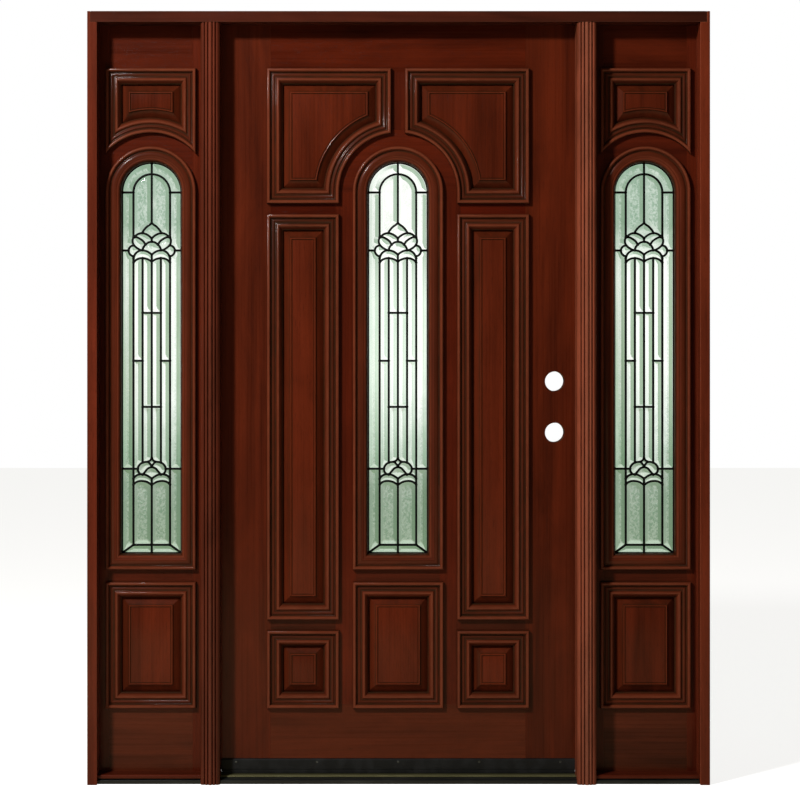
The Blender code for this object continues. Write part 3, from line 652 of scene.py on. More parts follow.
def crown_post(gap):
    """The short muntin that stands on the crown of the arch."""
    half = TOP_MUNTIN_HALF + LIP
    radius = COLUMN_INNER + LIP + gap
    turn = math.acos(half / radius)
    foot = arc((0.0, SPRING), radius, math.pi - turn, turn, CURVE_STEPS // 2)
    top = PANEL_TOP - LIP - gap
    return upright(foot + [(half, top), (-half, top)], LEAF_FRONT, LEAF_BACK)


BORE_X = 0.427
BORE_RADIUS = 0.027
BORE_HEIGHTS = (0.9455, 1.0852)
LATCH_RADIUS = 0.0127
BORE_SIDES = 64


def circle(centre, radius, sides):
    """Points round a whole circle."""
    return arc(centre, radius, 0.0, 2 * math.pi * (1 - 1 / sides), sides - 1)


def bored_stile():
    """The lock stile with its two open lock bores, and a latch bore into each from the edge."""
    inner = COLUMN_OUTER - LIP
    cutters = []
    for height in BORE_HEIGHTS:
        hole = circle((BORE_X, height), BORE_RADIUS, BORE_SIDES)
        cutters.append(upright(hole, LEAF_FRONT - LIP, LEAF_BACK + LIP))
        latch = circle((LEAF_FRONT + LEAF_THICK / 2, height), LATCH_RADIUS, BORE_SIDES // 2)
        cutters.append(lengthwise(latch, BORE_X, LEAF_HALF_WIDTH + LIP))
    blank = block((inner, LEAF_FRONT, LEAF_BOTTOM), (LEAF_HALF_WIDTH, LEAF_BACK, LEAF_TOP))
    shape = carve(blank, cutters)
    bmesh.ops.dissolve_limit(
        shape, angle_limit=math.radians(0.5), verts=shape.verts, edges=shape.edges
    )
    return shape


for index, (node, (dark, light)) in enumerate(BOARD_TONES.items()):
    if node == "lock_stile":
        shape = close_joints(bored_stile())
    elif node == "arch_rail":
        shape = close_joints(arch_board(0.0, LIGHT_HALF_WIDTH - LIP, COLUMN_INNER + LIP, GAP))
    elif node == "top_muntin":
        shape = close_joints(crown_post(GAP))
    else:
        shape = eased_copy(node, JOINT_EASE, glued=True)
    grain = "level" if "rail" in node else "upright"
    wood = mahogany(node + "_wood", dark, light, grain, (0.37 * index, 0.13 * index, 0.29 * index))
    settle(flatten_faces(add_piece(node + "_board", shape, wood)), "door_leaf", "mahogany", node)


# Mouldings: a bolection moulding laid round every panel and light, mitred at its corners, with
# an outer round, a hollow with a fine ridge, a bead and a quirk. It laps over the boards.
# Dark glaze was wiped into the hollows and off the rounds, which show a lighter red. The glaze also serves
# as painted shade in the hollows, and the lighter rounds as a painted highlight.

MOULDING_WIDTH = 0.0425
MOULDING_PROUD = 0.0155
PANEL_REBATE = 0.012
PANEL_TONGUE = 0.009
PANE_THICK = 0.005

# Front section: share of the width from the outer edge, and share of the height over the boards
PANEL_ROUNDS = (
    (0.0, 0.62), (0.02, 0.82), (0.05, 0.93), (0.09, 0.99), (0.13, 1.0), (0.17, 0.96), (0.205, 0.84),
    (0.23, 0.66), (0.255, 0.48), (0.29, 0.38), (0.325, 0.39), (0.36, 0.47), (0.395, 0.53), (0.43, 0.53),
    (0.465, 0.48), (0.50, 0.41), (0.54, 0.375), (0.58, 0.40), (0.615, 0.50), (0.645, 0.60), (0.68, 0.67),
    (0.72, 0.69), (0.76, 0.665), (0.795, 0.58), (0.825, 0.46), (0.855, 0.32), (0.89, 0.18), (0.925, 0.05),
    (0.955, -0.06), (1.0, -0.16),
)
GLASS_ROUNDS = (
    (0.0, 0.62), (0.02, 0.82), (0.06, 0.95), (0.11, 1.0), (0.155, 0.97), (0.195, 0.84), (0.225, 0.66),
    (0.255, 0.50), (0.295, 0.43), (0.335, 0.45), (0.38, 0.54), (0.44, 0.61), (0.51, 0.645), (0.58, 0.65),
    (0.64, 0.63), (0.685, 0.575), (0.725, 0.53), (0.765, 0.545), (0.80, 0.54), (0.84, 0.46), (0.88, 0.34),
    (0.92, 0.18), (0.96, -0.05), (1.0, -0.30),
)
BACK_ROUNDS = (
    (1.0, -0.16), (0.92, 0.12), (0.84, 0.38), (0.65, 0.46), (0.45, 0.50), (0.28, 0.70), (0.15, 1.0),
    (0.08, 0.97), (0.0, 0.62),
)

# Glaze with painted shade in the hollow and wear with a painted highlight on the rounds: where the hollow
# lies, its least glaze, how far and how deep marks are measured, and the highlight lost towards the inner
# edge
HOLLOW_FROM, HOLLOW_TO = 0.22, 0.62
HOLLOW_GLAZE_AND_SHADE = 0.3
MARK_REACH = 0.0065
MARK_DEPTH = 0.0015
FACE_REACH = 0.02
INNER_WEAR_AND_HIGHLIGHT_LOSS = 0.55


def moulding_section(glazed):
    """A moulding's closed section as (inset, depth behind the boards' front)."""
    hold = (LEAF_THICK - PANE_THICK) / 2 if glazed else PANEL_REBATE
    floor = MOULDING_WIDTH - PANEL_TONGUE
    rounds = curve_through(GLASS_ROUNDS if glazed else PANEL_ROUNDS, 2)
    front = [(point.x * MOULDING_WIDTH, -min(point.y, 1.0) * MOULDING_PROUD) for point in rounds]
    inside = curve_through(BACK_ROUNDS, 2)
    back = [
        (point.x * MOULDING_WIDTH, LEAF_THICK + min(point.y, 1.0) * MOULDING_PROUD) for point in inside
    ]
    near, far = hold - GAP, LEAF_THICK - hold + GAP
    groove = [(MOULDING_WIDTH, near), (floor, near), (floor, far), (MOULDING_WIDTH, far)]
    lap, behind = LIP + GAP, LEAF_THICK + GAP
    rebate = [(0.0, behind), (lap, behind), (lap, -GAP), (0.0, -GAP)]
    return front + groove + back + rebate


def hollow_marks(section):
    """For each point of a section, how deep it lies below its neighbours on the same face.
    Some glaze stays all over the hollow, and less is rubbed off towards the inner edge. The depth is laid
    on as glaze with painted shade, and the height as wear with a painted highlight."""
    marks = []
    for inset, depth in section:
        beside = [
            other_depth
            for other_inset, other_depth in section
            if abs(other_inset - inset) < MARK_REACH and abs(other_depth - depth) < FACE_REACH
        ]
        mark = (depth - sum(beside) / len(beside)) / MARK_DEPTH
        share = inset / MOULDING_WIDTH
        if HOLLOW_FROM < share < HOLLOW_TO:
            mark = max(mark, HOLLOW_GLAZE_AND_SHADE)
        marks.append(mark if mark > 0 else mark * (1.0 - INNER_WEAR_AND_HIGHLIGHT_LOSS * share))
    return marks


def carry_round(outline, section, marks, closed):
    """Carry a section round an outline, marked with glaze and painted shade, and with wear and a painted
    highlight, with a map along the run.
    """
    shape = bmesh.new()
    glaze, wear = vertex_marks(shape, "glaze", "wear")
    run = shape.loops.layers.uv.new("run")
    rows = []
    across = [0.0]
    for index, ((inset, depth), mark) in enumerate(zip(section, marks)):
        row = []
        for x, z in outline(inset):
            vert = shape.verts.new((x, LEAF_FRONT + depth, z))
            vert[glaze], vert[wear] = part_of_one(mark), part_of_one(-mark)
            row.append(vert)
        rows.append(row)
        beyond = section[(index + 1) % len(section)]
        across.append(across[-1] + math.hypot(beyond[0] - inset, beyond[1] - depth))
    along = [0.0]
    track = outline(MOULDING_WIDTH / 2)
    count = len(track)
    for step in range(count):
        here, after = track[step], track[(step + 1) % count]
        along.append(along[-1] + math.hypot(after[0] - here[0], after[1] - here[1]))
    spans = len(rows) if closed else len(rows) - 1
    for index in range(spans):
        row, beyond = rows[index], rows[(index + 1) % len(rows)]
        for step in range(count):
            after = (step + 1) % count
            face = shape.faces.new((row[step], row[after], beyond[after], beyond[step]))
            corners = ((step, index), (step + 1, index), (step + 1, index + 1), (step, index + 1))
            for corner, (place, depth) in zip(face.loops, corners):
                corner[run].uv = (along[place], across[depth])
    if not closed:
        shape.faces.new(rows[0])
        shape.faces.new(rows[-1])
    return shape


def add_moulding(node, outline, body, shift, glazed=False):
    """A mitred moulding in its own stained wood."""
    section = moulding_section(glazed)
    shape = carry_round(outline, section, hollow_marks(section), closed=True)
    wood = mahogany(node + "_wood", (54, 19, 9), (108, 43, 23), "run", shift, ("glaze", "wear"))
    settle(add_piece(node + "_run", shape, wood), body, "mahogany_moulding", node)


column_left = (-COLUMN_OUTER, -COLUMN_INNER)
column_right = (COLUMN_INNER, COLUMN_OUTER)
DOOR_PANELS = {
    "centre_bottom": rectangle(-LIGHT_HALF_WIDTH, LIGHT_HALF_WIDTH, PANEL_BOTTOM, CENTRE_PANEL_TOP),
    "left_upper": shouldered(-1),
    "right_upper": shouldered(1),
    "left_tall": rectangle(*column_left, TALL_PANEL_BOTTOM, TALL_PANEL_TOP),
    "right_tall": rectangle(*column_right, TALL_PANEL_BOTTOM, TALL_PANEL_TOP),
    "left_small": rectangle(*column_left, PANEL_BOTTOM, SMALL_PANEL_TOP),
    "right_small": rectangle(*column_right, PANEL_BOTTOM, SMALL_PANEL_TOP),
}
for index, (name, outline) in enumerate(DOOR_PANELS.items()):
    add_moulding(name + "_moulding", outline, "door_leaf", (0.1, 0.2, 1.7 * index))
door_light = arched(0.0, LIGHT_HALF_WIDTH, LIGHT_BOTTOM)
add_moulding("door_glass_moulding", door_light, "door_leaf", (0.1, 0.2, 14.0), glazed=True)


# Raised panels: one wide board each, with upright grain, loose in its moulding's groove. A broad
# slope rises from the edge to a step, a flat bead and a scribed line round the middle field.

BORDER_WIDTH = 0.029

# Front section inwards from the sight edge: share of the border, and height over the boards
PANEL_RISE = (
    (0.0, -0.0115), (0.05, -0.0108), (0.09, -0.0098), (0.40, -0.0042), (0.655, 0.0009), (0.70, 0.0018),
    (0.722, 0.0034), (0.74, 0.0048), (0.77, 0.0057), (0.81, 0.0060), (0.845, 0.0056), (0.87, 0.0046),
    (0.895, 0.0030), (0.925, 0.0030), (0.955, 0.0038), (1.0, 0.0040),
)


def panel_section():
    """A raised panel's section from the field on its front to the plainer field on its back."""
    sight = MOULDING_WIDTH
    tongue = sight - PANEL_TONGUE + GAP
    front = [(sight + share * BORDER_WIDTH, -height) for share, height in reversed(PANEL_RISE)]
    hidden = [
        (sight + 0.0004, PANEL_REBATE),
        (tongue, PANEL_REBATE),
        (tongue, LEAF_THICK - PANEL_REBATE),
        (sight + BORDER_WIDTH * 0.05, LEAF_THICK - PANEL_REBATE),
    ]
    inside = [
        (sight + BORDER_WIDTH * 0.72, LEAF_THICK + 0.0025),
        (sight + BORDER_WIDTH * 0.74, LEAF_THICK + 0.0038),
        (sight + BORDER_WIDTH, LEAF_THICK + 0.004),
    ]
    return front + hidden + inside


def panel_marks():
    """Glaze with painted shade lies at the foot of the slope and in the scribed line, wear with a painted
    highlight on the step and bead.
    """
    front = [0.0, 0.15, 1.0, 1.0, 0.2, -0.3, -0.6, -0.4, 0.1, 0.9, 1.0, 0.45, 0.3, 0.35, 0.7, 1.0]
    return front + [1.0] * 4 + [0.2, -0.3, 0.0]


def add_panel(node, outline, body, shift):
    """A raised panel in its own figured board."""
    shape = carry_round(outline, panel_section(), panel_marks(), closed=False)
    wood = mahogany(node + "_wood", (56, 18, 7), (110, 40, 18), "upright", shift, ("glaze", "wear"))
    settle(add_piece(node + "_board", shape, wood, 20.0), body, "mahogany_panel", node)


for index, (name, outline) in enumerate(DOOR_PANELS.items()):
    add_panel(name + "_panel", outline, "door_leaf", (0.83 * index, 0.4, 0.57 * index))


# Leaded glass: clear bevelled pieces between dark lead cames, in a round-headed panel with
# a fan of petals above and below. Each piece is ground to a bevel at the leads, and the
# plain pieces have a hammered face. The bevels face out, and the back is flat.

GLASS_HALF = LIGHT_HALF_WIDTH - MOULDING_WIDTH
GLASS_BOTTOM = LIGHT_BOTTOM + MOULDING_WIDTH
LEAD_EDGE = 0.006
CAME_HALF = 0.0030
RIM_CAME_HALF = 0.0014
CAME_HEIGHT = 0.0011
SOLDER_RADIUS = 0.0040
BEVEL_WIDTH = 0.0090
BEVEL_DEPTH = 0.0016
PANE_PLANE = LEAF_FRONT + LEAF_THICK / 2
# Weights of a bevel's slope across and upwards in its lean, by which the glass paints some bevels with
# highlight and others with shade
LEAN_ACROSS, LEAN_UP = 0.8, 0.6
INNER_LEAD = 0.050
MIDDLE_LEAD = 0.025
UPPER_FAN = 1.4425
LOWER_FAN = 0.846
BAR = 0.638
TIES = {"upper": 1.272, "middle": 1.141, "lower": 1.015}

# Petals of the two fans on their right half, in millimetres from the fan's middle
UPPER_PETALS = (
    ((0, 75), (6, 70), (12, 66), (19, 59), (24, 52), (26, 47.5)),
    ((48, 36), (44, 40.5), (36, 45.5), (25.6, 47.5), (14, 44), (5, 38), (0, 33)),
    ((49, 36.5), (41, 36), (34, 33), (27, 28.5), (22, 24), (17, 16)),
    ((49, 36), (52, 30), (52, 22), (49, 15), (42, 8), (32, 2), (25, 0.5)),
    ((26, 1), (22, 10), (17, 16), (9, 22), (0, 24)),
    ((49, 14), (56, 12), (61, 7), (63.4, 0), (61, -8), (56, -13.5), (50, -16)),
    ((50, -22), (47, -13), (42, -6), (33, -0.5), (24, 0.5), (14, -2), (6, -6.5), (0, -11)),
    ((50, -33), (43, -26), (34, -22), (24, -21), (14, -23), (6, -26.5), (0, -30.5)),
)
LOWER_PETALS = (
    ((0, 29), (4, 23), (10, 19)),
    ((10, 19), (5, 14), (0, 7)),
    ((10, 19), (21, 18), (30, 14), (36, 7), (38, 0), (37, -7), (32, -13.5), (25, -16)),
    ((24, -15), (18, -8), (10, 1), (0, 5)),
    ((50, -27), (44, -20), (36, -16), (26, -15), (16, -17), (7, -22), (0, -27)),
    ((50, -43), (43, -37), (35, -34), (25.6, -33.5), (15, -35.5), (7, -39.5), (0, -44.5)),
)


def lead_lines():
    """Every lead line of one light, as lists of (x, z) from its middle, the rim's first."""
    side_edge = GLASS_HALF - RIM_CAME_HALF
    foot = GLASS_BOTTOM + RIM_CAME_HALF
    rim = arched(0.0, side_edge, foot)(0.0)
    lines = [
        rim + rim[:1],
        [(0.0, SPRING + side_edge), (0.0, UPPER_FAN + 0.075)],
        [(0.0, UPPER_FAN + 0.034), (0.0, UPPER_FAN + 0.024)],
        [(0.0, UPPER_FAN - 0.011), (0.0, LOWER_FAN + 0.029)],
        [(0.0, LOWER_FAN - 0.027), (0.0, foot)],
        [(-INNER_LEAD, BAR), (INNER_LEAD, BAR)],
        [(-MIDDLE_LEAD, TIES["upper"]), (MIDDLE_LEAD, TIES["upper"])],
        [(-MIDDLE_LEAD, TIES["lower"]), (MIDDLE_LEAD, TIES["lower"])],
        arc((0.0, SPRING), INNER_LEAD, 0.0, math.pi, CURVE_STEPS // 2),
    ]
    for side in (-1, 1):
        inner, middle, edge = side * INNER_LEAD, side * MIDDLE_LEAD, side * side_edge
        lines += [
            [(inner, SPRING), (edge, SPRING)],
            [(inner, SPRING), (inner, UPPER_FAN + 0.036)],
            [(inner, UPPER_FAN - 0.016), (inner, BAR)],
            [(middle, UPPER_FAN - 0.021), (middle, LOWER_FAN + 0.017)],
            [(side * 0.0634, UPPER_FAN), (edge, UPPER_FAN)],
            [(side * 0.038, LOWER_FAN), (edge, LOWER_FAN)],
            [(middle, TIES["middle"]), (inner, TIES["middle"])],
            [(inner, BAR), (edge, foot)],
        ]
        for fan, petals in ((UPPER_FAN, UPPER_PETALS), (LOWER_FAN, LOWER_PETALS)):
            for petal in petals:
                points = [(side * x / 1000, fan + z / 1000) for x, z in petal]
                lines.append([tuple(point) for point in curve_through(points, 4)])
    return lines


LEAD_LINES = lead_lines()


def stops(low, high, breaks, zones, coarse):
    """Grid places from low to high: the bevels' breaks, close steps in zones, coarse ones elsewhere."""
    places = set()
    step_at = low
    while step_at < high:
        places.add(round(step_at, 5))
        close = [step for start, end, step in zones if start <= step_at <= end]
        step_at += min(close) if close else coarse
    places.add(high)
    for at in breaks:
        near = [place for place in places if abs(place - at) < 0.0005 and place not in (low, high)]
        places.difference_update(near)
        places.add(round(at, 5))
    return sorted(place for place in places if low <= place <= high)


def bevel_breaks(lines_at):
    """The edges of the lead and of the bevel on both sides of each straight lead."""
    offsets = (CAME_HALF, CAME_HALF + BEVEL_WIDTH)
    return [at + side * offset for at in lines_at for side in (-1, 1) for offset in offsets]


def bevelled_pane(middle):
    """A pane whose front falls to a bevel at every lead line."""
    reach = GLASS_HALF + LEAD_EDGE
    bottom, top = GLASS_BOTTOM - LEAD_EDGE, SPRING + reach
    from_middle = (0.0, MIDDLE_LEAD, INNER_LEAD, GLASS_HALF - RIM_CAME_HALF)
    uprights = [side * at for side in (-1, 1) for at in from_middle]
    levels = [SPRING, UPPER_FAN, LOWER_FAN, BAR, GLASS_BOTTOM + RIM_CAME_HALF, *TIES.values()]
    close = (
        (UPPER_FAN - 0.045, UPPER_FAN + 0.083, 0.0011),
        (LOWER_FAN - 0.055, LOWER_FAN + 0.038, 0.0011),
        (SPRING - 0.004, top, 0.0015),
        (GLASS_BOTTOM - 0.004, BAR + 0.004, 0.002),
    )
    across = stops(-reach, reach, bevel_breaks(uprights), ((-reach, reach, 0.0014),), 0.0014)
    rising = stops(bottom, top, bevel_breaks(levels), close, 0.012)
    grid = np.array([(x, z) for z in rising for x in across])
    distance = np.full(len(grid), 1.0)
    for line in LEAD_LINES:
        for first, last in zip(line, line[1:]):
            start, step = np.array(first), np.subtract(last, first)
            along = np.clip(((grid - start) @ step) / max(step @ step, 1e-12), 0.0, 1.0)
            away = np.linalg.norm(grid - start - along[:, None] * step, axis=1)
            distance = np.minimum(distance, away)
    fall = 1.0 - np.clip((distance - CAME_HALF) / BEVEL_WIDTH, 0.0, 1.0)
    slope_up, slope_across = np.gradient(fall.reshape(len(rising), len(across)), rising, across)
    # Each bevel's lean and rise, kept on its points for the glass's painted highlights and shade
    leaning = (slope_across * LEAN_ACROSS + slope_up * LEAN_UP).ravel() * BEVEL_WIDTH
    rising_tilt = slope_up.ravel() * BEVEL_WIDTH
    front = PANE_PLANE - PANE_THICK / 2 + fall * BEVEL_DEPTH
    shape = bmesh.new()
    plain, lean, foot = vertex_marks(shape, "plain", "lean", "foot")
    verts = []
    for (x, z), y, share, tilt, rise in zip(grid, front, fall, leaning, rising_tilt):
        vert = shape.verts.new((middle + x, y, z))
        vert[plain] = 1.0 - min(1.0, share * 3)
        vert[lean] = max(-1.0, min(1.0, -tilt))
        vert[foot] = part_of_one(-rise)
        verts.append(vert)
    width = len(across)
    for row in range(len(rising) - 1):
        for column in range(width - 1):
            at = row * width + column
            corners = [at, at + 1, at + width + 1, at + width]
            outside = [
                math.hypot(grid[corner][0], max(0.0, grid[corner][1] - SPRING)) > reach + 1e-6
                for corner in corners
            ]
            if not any(outside):
                shape.faces.new([verts[corner] for corner in corners])
    loose = [vert for vert in shape.verts if not vert.link_faces]
    bmesh.ops.delete(shape, geom=loose, context="VERTS")
    rim = [edge for edge in shape.edges if len(edge.link_faces) == 1]
    turned = bmesh.ops.extrude_edge_only(shape, edges=rim)
    walls = [item for item in turned["geom"] if isinstance(item, bmesh.types.BMVert)]
    for vert in walls:
        vert.co.y = PANE_PLANE + PANE_THICK / 2
    far_rim = [item for item in turned["geom"] if isinstance(item, bmesh.types.BMEdge)]
    bmesh.ops.contextual_create(shape, geom=far_rim)
    return shape


# Heights between which painted shade makes the glass greener downwards and upwards, and its bevels darker
LOW_SHADE = (1.12, 0.78)
TOP_SHADE = (1.36, 1.52)
TOP_BEVEL_SHADE = (1.30, 1.44)
# Share and white of the painted glints and highlights on the glass
GLINT_COVER = 0.48
HIGHLIGHT_WHITE = shade(255, 255, 254)


def bevelled_glass(name, ends_shade, pale, shaded_bevel, top_share):
    """Clear glass, faintly green, with a hammered face. Painted shade makes it greener towards the bottom
    and the top, painted glints fleck the hammered face, and by their lean the bevels get a painted
    highlight on one side of each lead and painted shade on the other, with a painted highlight along the
    foot of each piece too."""
    material, tree, shader = new_material(name)
    place = object_place(tree)
    height = add_node(tree, "ShaderNodeSeparateXYZ", {0: place}).outputs[2]
    # Painted shade: the glass grows greener towards the bottom and the top, with a cloudy random change
    # between
    low_end = spread(tree, height, *LOW_SHADE)
    top_end = spread(tree, height, *TOP_SHADE, 0.0, top_share)
    cloudy = stretched_noise(tree, place, 0.5, 30.0, 4.0, 0.8)
    ends = sum_up(tree, "ADD", low_end, top_end)
    ends = sum_up(tree, "ADD", ends, spread(tree, cloudy, 0.3, 0.7, -0.2, 0.2), clamp=True)
    colour = blend_colour(tree, ends, shade(*pale), shade(*ends_shade))
    # Painted glints flecked over the plain hammered face
    hammered = stretched_noise(tree, place, 0.8, 150.0, 2.0, 0.4)
    plain = attribute(tree, "plain")
    hammer_glints = times(tree, spread(tree, hammered, 0.42, 0.58), plain)
    colour = blend_colour(tree, times(tree, hammer_glints, GLINT_COVER), colour, HIGHLIGHT_WHITE)
    # Painted shade on bevels leaning one way and a painted highlight on those leaning the other, brighter
    # still along each piece's foot
    lean = attribute(tree, "lean")
    bevel_shade_share = sum_up(tree, "ADD", low_end, spread(tree, height, *TOP_BEVEL_SHADE), clamp=True)
    bevel_shade = blend_colour(tree, bevel_shade_share, shade(*shaded_bevel), shade(122, 150, 124))
    colour = blend_colour(tree, spread(tree, lean, 0.0, -0.4), colour, bevel_shade)
    painted_highlight = times(tree, spread(tree, lean, 0.05, 0.55), spread(tree, ends, 0.0, 1.0, 0.97, 0.2))
    foot = spread(tree, attribute(tree, "foot"), 0.1, 0.6)
    foot = times(tree, foot, spread(tree, top_end, 0.0, 1.0, 0.9, 0.1))
    painted_highlight = sum_up(tree, "MAXIMUM", painted_highlight, foot)
    looks = {
        "Base Color": blend_colour(tree, painted_highlight, colour, HIGHLIGHT_WHITE),
        "Roughness": spread(tree, cloudy, 0.3, 0.7, 0.02, 0.06),
        "Transmission Weight": 1.0,
        "IOR": 1.5,
    }
    dress_shader(tree, shader, times(tree, hammered, plain), 0.5, 0.0015, looks)
    return material


def dress_grown(tree, whole, material):
    """Set the grown shapes down as real mesh, in their material."""
    real = first_of(tree, "GeometryNodeRealizeInstances", {"Geometry": whole})
    smooth = first_of(tree, "GeometryNodeSetShadeSmooth", {"Geometry": real})
    return first_of(tree, "GeometryNodeSetMaterial", {"Geometry": smooth, "Material": material})


def came_tree():
    """Sweeps an oval lead came along flat lines, solders the ends, and stands the result upright."""
    inputs = {
        "Lines": "Geometry",
        "Half Width": "Float",
        "Half Height": "Float",
        "Solder Radius": "Float",
        "Place": "Vector",
        "Lead": "Material",
    }
    tree, given = new_group("lead_cames", inputs, {"Cames": "Geometry"}, "GeometryNodeTree")
    curves = first_of(tree, "GeometryNodeMeshToCurve", {"Mesh": given["Lines"]})
    level = first_of(tree, "GeometryNodeSetCurveNormal", {"Curve": curves}, mode="Z_UP")
    ring = first_of(tree, "GeometryNodeCurvePrimitiveCircle", {"Resolution": 10, "Radius": 1.0})
    size = first_of(
        tree, "ShaderNodeCombineXYZ", {0: given["Half Width"], 1: given["Half Height"], 2: 1.0}
    )
    oval = first_of(tree, "GeometryNodeTransform", {"Geometry": ring, "Scale": size})
    swept = {"Curve": level, "Profile Curve": oval, "Fill Caps": True}
    rods = first_of(tree, "GeometryNodeCurveToMesh", swept)
    beside = add_node(tree, "GeometryNodeInputMeshVertexNeighbors").outputs["Vertex Count"]
    at_end = first_of(
        tree, "FunctionNodeCompare", {2: beside, 3: 1}, data_type="INT", operation="EQUAL"
    )
    rounded = {"Segments": 12, "Rings": 6, "Radius": given["Solder Radius"]}
    bead = first_of(tree, "GeometryNodeMeshUVSphere", rounded)
    dropped = {
        "Points": given["Lines"],
        "Selection": at_end,
        "Instance": bead,
        "Scale": (1.0, 1.0, 0.42),
    }
    beads = first_of(tree, "GeometryNodeInstanceOnPoints", dropped)
    both = add_node(tree, "GeometryNodeJoinGeometry")
    for part in (beads, rods):
        tree.links.new(part, both.inputs[0])
    upright_at = {
        "Geometry": both.outputs[0],
        "Rotation": (math.pi / 2, 0.0, 0.0),
        "Translation": given["Place"],
    }
    stood = first_of(tree, "GeometryNodeTransform", upright_at)
    add_node(tree, "NodeGroupOutput", {"Cames": dress_grown(tree, stood, given["Lead"])})
    return tree


def grow(name, tree, start_mesh, settings):
    """Run a geometry tree on a starting mesh and give the result as a plain mesh."""
    starter = add_object(name + "_start", start_mesh)
    modifier = starter.modifiers.new(name, "NODES")
    modifier.node_group = tree
    for item in tree.interface.items_tree:
        if item.item_type == "SOCKET" and item.in_out == "INPUT" and item.name in settings:
            modifier[item.identifier] = settings[item.name]
    mesh = built_mesh(starter)
    bpy.data.objects.remove(starter, do_unlink=True)
    mesh.name = name
    return mesh


lead = metal("dark_lead", (3, 5, 4), (12, 14, 13), 0.5, 0.0, "upright")
lead.node_tree.nodes["Principled BSDF"].inputs["Specular IOR Level"].default_value = 0.1
cames = came_tree()


def lines_mesh(lines):
    """Lead lines lying flat, as edges."""
    points, edges = [], []
    for line in lines:
        start = len(points)
        points += [(x, z, 0.0) for x, z in line]
        edges += [(index, index + 1) for index in range(start, len(points) - 1)]
    mesh = bpy.data.meshes.new("lead_lines")
    mesh.from_pydata(points, edges, [])
    return mesh


def add_leaded_glass(node, middle, body, ends_shade, pale, shaded_bevel, top_share):
    """A light's bevelled pane and its cames, on both faces. The rim's came is narrow."""
    glass = bevelled_glass(node + "_clear", ends_shade, pale, shaded_bevel, top_share)
    pane = add_piece(node + "_pane", bevelled_pane(middle), glass, 60.0)
    settle(pane, body, "leaded_glass", node)
    parts = (("rim", LEAD_LINES[:1], RIM_CAME_HALF), ("inner", LEAD_LINES[1:], CAME_HALF))
    for face, depth in (("front", -PANE_THICK / 2), ("back", PANE_THICK / 2)):
        for part, lines, half_width in parts:
            name = f"{node}_{face}_{part}_cames"
            settings = {
                "Place": (middle, PANE_PLANE + depth, 0.0),
                "Lead": lead,
                "Half Width": half_width,
                "Half Height": CAME_HEIGHT,
                "Solder Radius": SOLDER_RADIUS,
            }
            came_run = add_object(name, grow(name, cames, lines_mesh(lines), settings))
            settle(came_run, body, "dark_bronze", node)


# The door's glass: painted shade at its ends, its clear pale middle, and painted shade on its bevels
ends_shade, pale, shaded_bevel = (146, 172, 152), (255, 255, 253), (200, 224, 202)
add_leaded_glass("door_leaded_glass", 0.0, "door_leaf", ends_shade, pale, shaded_bevel, 0.25)


# Door sweep: a dark vinyl extrusion along the foot of the leaf's front, with a sloped top and a
# soft lip, held by five small screws.

SWEEP_LOW = 0.019
SWEEP_TOP = 0.059
SWEEP_HALF = 0.4806
SWEEP_THICK = 0.008
SCREW_LINE = 0.0505
SWEEP_SCREWS = (-0.441, -0.2205, 0.0, 0.2205, 0.441)
SWEEP_ROUND = 0.0032
SWEEP_SCREW_RADIUS = 0.0034
SCREW_SINK = 0.0003

# Ribbed foot of the sweep: how far behind its face, and how high
SWEEP_FOOT = (
    (0.0, 0.012), (0.0012, 0.0112), (0.0012, 0.0092), (0.0, 0.0084), (0.0006, 0.001), (0.0016, 0.0),
)

# Crown of a screw head: radius and height
SCREW_CROWN = (
    (0.12, 0.20), (0.26, 0.19), (0.42, 0.18), (0.60, 0.16), (0.80, 0.11), (0.95, 0.03), (1.0, -0.05),
)
SCREW_SIDES = 32
CROSS_HALF, CROSS_REACH, CROSS_DEPTH = 0.11, 0.55, 0.22


def sweep_section():
    """YZ section of the sweep: back, sloped top with a rounded shoulder, ribbed foot."""
    back, face = LEAF_FRONT - GAP, LEAF_FRONT - SWEEP_THICK
    corner = (face + SWEEP_ROUND, SWEEP_TOP - 0.004)
    shoulder = arc(corner, SWEEP_ROUND, math.pi / 2 + 0.5, math.pi, 6)
    foot = [(face + behind, SWEEP_LOW + height) for behind, height in SWEEP_FOOT]
    return [(back, SWEEP_LOW), (back, SWEEP_TOP)] + shoulder + foot


def screw_head():
    """A small countersunk head with a cross recess, facing up, one unit in radius."""
    head = bmesh.new()
    rows = []
    for radius, height in SCREW_CROWN:
        row = []
        for x, y in circle((0.0, 0.0), radius, SCREW_SIDES):
            in_cross = min(abs(x), abs(y)) < CROSS_HALF and max(abs(x), abs(y)) < CROSS_REACH
            row.append(head.verts.new((x, y, height - CROSS_DEPTH if in_cross else height)))
        rows.append(row)
    middle = head.verts.new((0.0, 0.0, -0.04))
    for step in range(SCREW_SIDES):
        head.faces.new((middle, rows[0][step], rows[0][(step + 1) % SCREW_SIDES]))
    for row, beyond in zip(rows, rows[1:]):
        for step in range(SCREW_SIDES):
            after = (step + 1) % SCREW_SIDES
            head.faces.new((row[step], beyond[step], beyond[after], row[after]))
    head.faces.new(rows[-1][::-1])
    mesh = bpy.data.meshes.new("screw_head")
    head.to_mesh(mesh)
    head.free()
    mesh.shade_smooth()
    return bpy.data.objects.new("screw_head", mesh)


